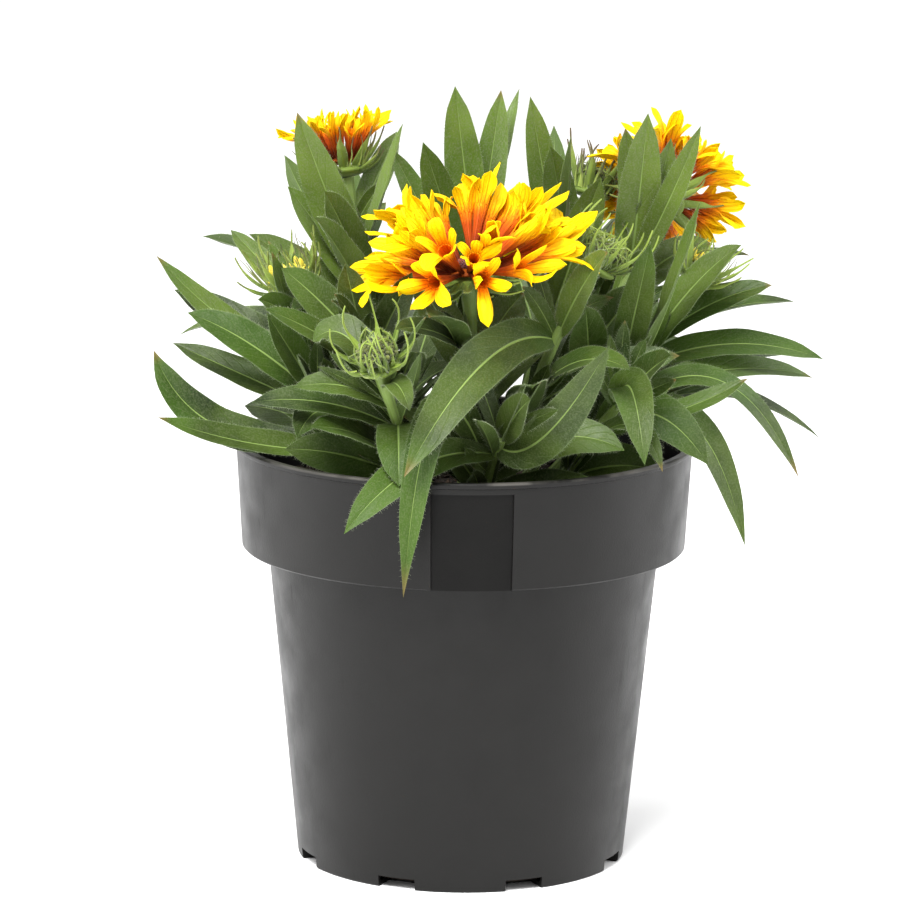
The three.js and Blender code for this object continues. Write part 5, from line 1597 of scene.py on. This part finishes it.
    def trumpet(self, body, placed, floret, way, kind, random):
        """A floret: a tube that flares and splits into blunt, curving lobes."""
        tone = random.random()
        neck = NECKS[floret.row]
        mouth = kind["throat"] * floret.size

        def ring(share):
            """The tube's radius at a share of its own length."""
            return TUBE_FOOT + (mouth - TUBE_FOOT) * (0.35 * share + 0.65 * share ** 2.4)

        local = self.tube.points
        turn = np.arctan2(local[:, 1], local[:, 0])
        inner = np.hypot(local[:, 0], local[:, 1]) < 0.75
        share = local[:, 2]
        centre, _, over, above = trumpet_frame(floret, way, kind["bend"], neck * share)
        ridge = 1 + 0.05 * np.cos(2 * kind["lobes"] * turn) * share
        radius = ring(share) * ridge - self.blooms.wall / MM * inner
        outward = np.cos(turn + floret.spin)[:, None] * over + np.sin(turn + floret.spin)[:, None] * above
        points = centre + outward * radius[:, None]
        skin = np.stack([(turn / TURN * kind["lobes"]) % 1, neck * share], -1)
        body.add(self.tube, placed.place(points), skin, growth_of(len(points), tone, inner))
        for lobe in range(kind["lobes"]):
            self.lobe(body, placed, floret, way, kind, random, lobe, ring, tone)

    def lobe(self, body, placed, floret, way, kind, random, number, ring, tone):
        """One blunt tongue of a floret's mouth: those away from the bloom's middle are the longest."""
        neck = NECKS[floret.row]
        local = self.tongue.points
        across, along, lower = local[:, 0], local[:, 1], local[:, 2] < -0.5
        free = lerp(-LOBE_ROOT, 1, along)
        held = np.minimum(free, 0)
        middle = floret.spin + TURN * (number + random.normal(0, 0.06)) / kind["lobes"]
        outer = 0.5 - 0.5 * math.sin(middle)
        reach = floret.length * (1 - neck) * random.uniform(0.75, 1.2) * lerp(0.75, 1.2, outer)
        width = self.blooms.lobe_share * kind["mouth"] * floret.size / 2 * (
            random.uniform(0.7, 1.1) * lerp(0.8, 1.08, outer))
        start = random.uniform(-0.05, 0.35)
        bend = random.uniform(0.15, 1.25) * (1 if random.random() < 0.88 else -0.7)
        centre, direction, over, above = trumpet_frame(floret, way, kind["bend"], neck * (1 + held))
        out = math.cos(middle) * over + math.sin(middle) * above
        side = -math.sin(middle) * over + math.cos(middle) * above
        q = np.maximum(free * (1 - 0.14 * across ** 2 * free), 0)
        angle = start + bend * q
        forward = reach * (np.sin(angle) - math.sin(start)) / bend
        spread = reach * (math.cos(start) - np.cos(angle)) / bend
        inward = np.sin(angle)[:, None] * direction - np.cos(angle)[:, None] * out
        twist = random.normal(0, 0.3) * q + random.normal(0, 0.35) * q ** 2
        side, inward = turned(side, inward, twist)
        around = math.pi / kind["lobes"] * 1.12 * across
        radius = ring(1 + held) + 0.06
        flat = smooth(0, 0.4, q)
        full = (0.66 + 1.2 * q - 0.72 * q ** 2) * np.sqrt(np.maximum(1 - q ** 5, 0.03))
        lateral = lerp(radius * np.sin(around), width * full * across, flat)
        cup = random.uniform(-0.5, 0.55)
        crease = 0.13 * width * np.cos(1.5 * TURN * across)
        rise = lerp(radius * (1 - np.cos(around)), width * cup * across ** 2 + crease, flat)
        sway = random.normal(0, 0.10) * reach * q ** 2
        thick = self.blooms.wall / MM * lerp(0.3, 1.1, smooth(-0.1, 0.25, free)) * (1 - 0.5 * q)
        points = centre + direction * forward[:, None] + out * (radius + spread)[:, None] + (
            side * (lateral + sway)[:, None]) + inward * (rise - thick * lower)[:, None]
        skin = np.stack([(across + 1) / 2, lerp(neck, 1, np.maximum(free, 0)) + neck * held], -1)
        body.add(self.tongue, placed.place(points), skin, growth_of(len(points), tone, 1.0 - lower))

    def rays(self, name, shoot, head, random):
        """The ring of trumpets on its core, with more florets between those that the solid holds."""
        placed = HeadFrame(shoot)
        solid = Solid(name)
        body = Body()
        kind = head["rays"]
        seat = CALYX_HEIGHT + SEAT_GAP
        self.cushion(
            body, placed, head["core"] * CORE_SHARE, seat, seat + CORE_HEIGHT, (0.5, 0, 0, 1),
            skin=(0.3, 0.0))
        for floret in rays_of(head):
            way = solid.way_of(HEAD_BENDS, lambda way: placed.place(trumpet_tips(floret, way, kind)))
            if way is None:
                continue
            self.trumpet(body, placed, floret, way, kind, random)
            if random.random() < kind["between"] and math.sin(floret.heading) > kind["clear"]:
                step = TURN / kind["rows"][floret.row][0]
                smaller = floret._replace(
                    heading=floret.heading + step * random.uniform(0.35, 0.65),
                    rise=floret.rise + random.uniform(-4, 16),
                    length=floret.length * random.uniform(0.86, 1.06),
                    spin=TURN * random.random(), size=0.95 * floret.size)
                self.trumpet(body, placed, smaller, way, kind, random)
        body.finish(f"{shoot.head}_trumpets", [self.ray_skin], [name], sharp=60)

    def disc(self, name, shoot, head, random):
        body = Body()
        seat = CALYX_HEIGHT + CORE_HEIGHT + 2 * SEAT_GAP
        self.closed_florets(
            body, HeadFrame(shoot), head["disc"] * 0.85, seat - 0.8, seat + head["disc"], random,
            count=60, size=0.34, length=1.3)
        body.finish(f"{shoot.head}_centre", [self.disc_skin], [name], sharp=60)

    def young(self, name, shoot, head, random):
        placed = HeadFrame(shoot)
        solid = Solid(name)
        body = Body()
        core = head["core"] * CORE_SHARE
        seat = CALYX_HEIGHT + SEAT_GAP
        self.closed_florets(
            body, placed, core * 1.05, seat, seat + CORE_HEIGHT + 1.6, random,
            count=60, size=0.62, length=3.0)
        for spur in young_florets_of(head):
            way = solid.way_of(HEAD_BENDS, lambda way: placed.place(spur_line(spur, way, 1.0)))
            if way is None:
                continue
            share = np.linspace(0, 1, PATH_POINTS)
            path = spur_line(spur, way, share)
            radius = spur.width / 2 * np.interp(share, [0, 0.35, 0.75, 0.93, 1], [0.4, 0.5, 0.55, 0.35, 0.08])
            points, skin = along_path(self.thread, path, radius)
            body.add(self.thread, placed.place(points), skin, (random.random() * 0.4, 0, 0, 1))
        body.finish(f"{shoot.head}_young_florets", [self.young_skin], [name], sharp=60)


class BLOOM_OT_open(bpy.types.Operator):
    """Open the blooms, the half-open heads and the buds"""

    bl_idname = "flower.open_heads"
    bl_label = "Flower heads"

    def execute(self, context):
        scene = context.scene
        maker = HeadMaker(scene.flower_blooms, scene.flower_buds, scene.flower_leaves)
        for number, shoot in enumerate(SHOOTS):
            if not shoot.head:
                continue
            head = HEADS[shoot.head]
            random = np.random.default_rng(700 + number)
            maker.calyx(f"{shoot.head}_calyx", shoot, head, random)
            if "rays" in head:
                maker.disc(f"{shoot.head}_disc", shoot, head, random)
                maker.rays(f"{shoot.head}_rays", shoot, head, random)
            if "florets" in head:
                maker.young(f"{shoot.head}_florets", shoot, head, random)
        return {"FINISHED"}


# ------------------------------------------------------------------ panel and registration


class FLOWER_PT_panel(bpy.types.Panel):
    """Lists the pieces of the potted blanket flower"""

    bl_idname = "FLOWER_PT_panel"
    bl_label = "Blanket flower"
    bl_space_type = "VIEW_3D"
    bl_region_type = "UI"
    bl_category = "Blanket flower"

    def draw(self, context):
        for operator in OPERATORS:
            self.layout.operator(operator.bl_idname)


OPERATORS = (STAGE_OT_lay, POT_OT_mould, SOIL_OT_fill, LEAF_OT_grow, BLOOM_OT_open)
SETTINGS = {
    "flower_pot": PotSettings, "flower_soil": SoilSettings, "flower_leaves": LeafSettings,
    "flower_blooms": BloomSettings, "flower_buds": BudSettings, "flower_stage": StageSettings,
}


def register():
    for kind in (*SETTINGS.values(), *OPERATORS, FLOWER_PT_panel):
        bpy.utils.register_class(kind)
    for name, group in SETTINGS.items():
        setattr(bpy.types.Scene, name, PointerProperty(type=group))


def unregister():
    for name in SETTINGS:
        delattr(bpy.types.Scene, name)
    for kind in reversed((*SETTINGS.values(), *OPERATORS, FLOWER_PT_panel)):
        bpy.utils.unregister_class(kind)


def main():
    register()
    bpy.ops.flower.lay_stage()
    bpy.ops.flower.mould_pot()
    bpy.ops.flower.fill_soil()
    bpy.ops.flower.grow_leaves()
    bpy.ops.flower.open_heads()


if __name__ == "__main__":
    main()
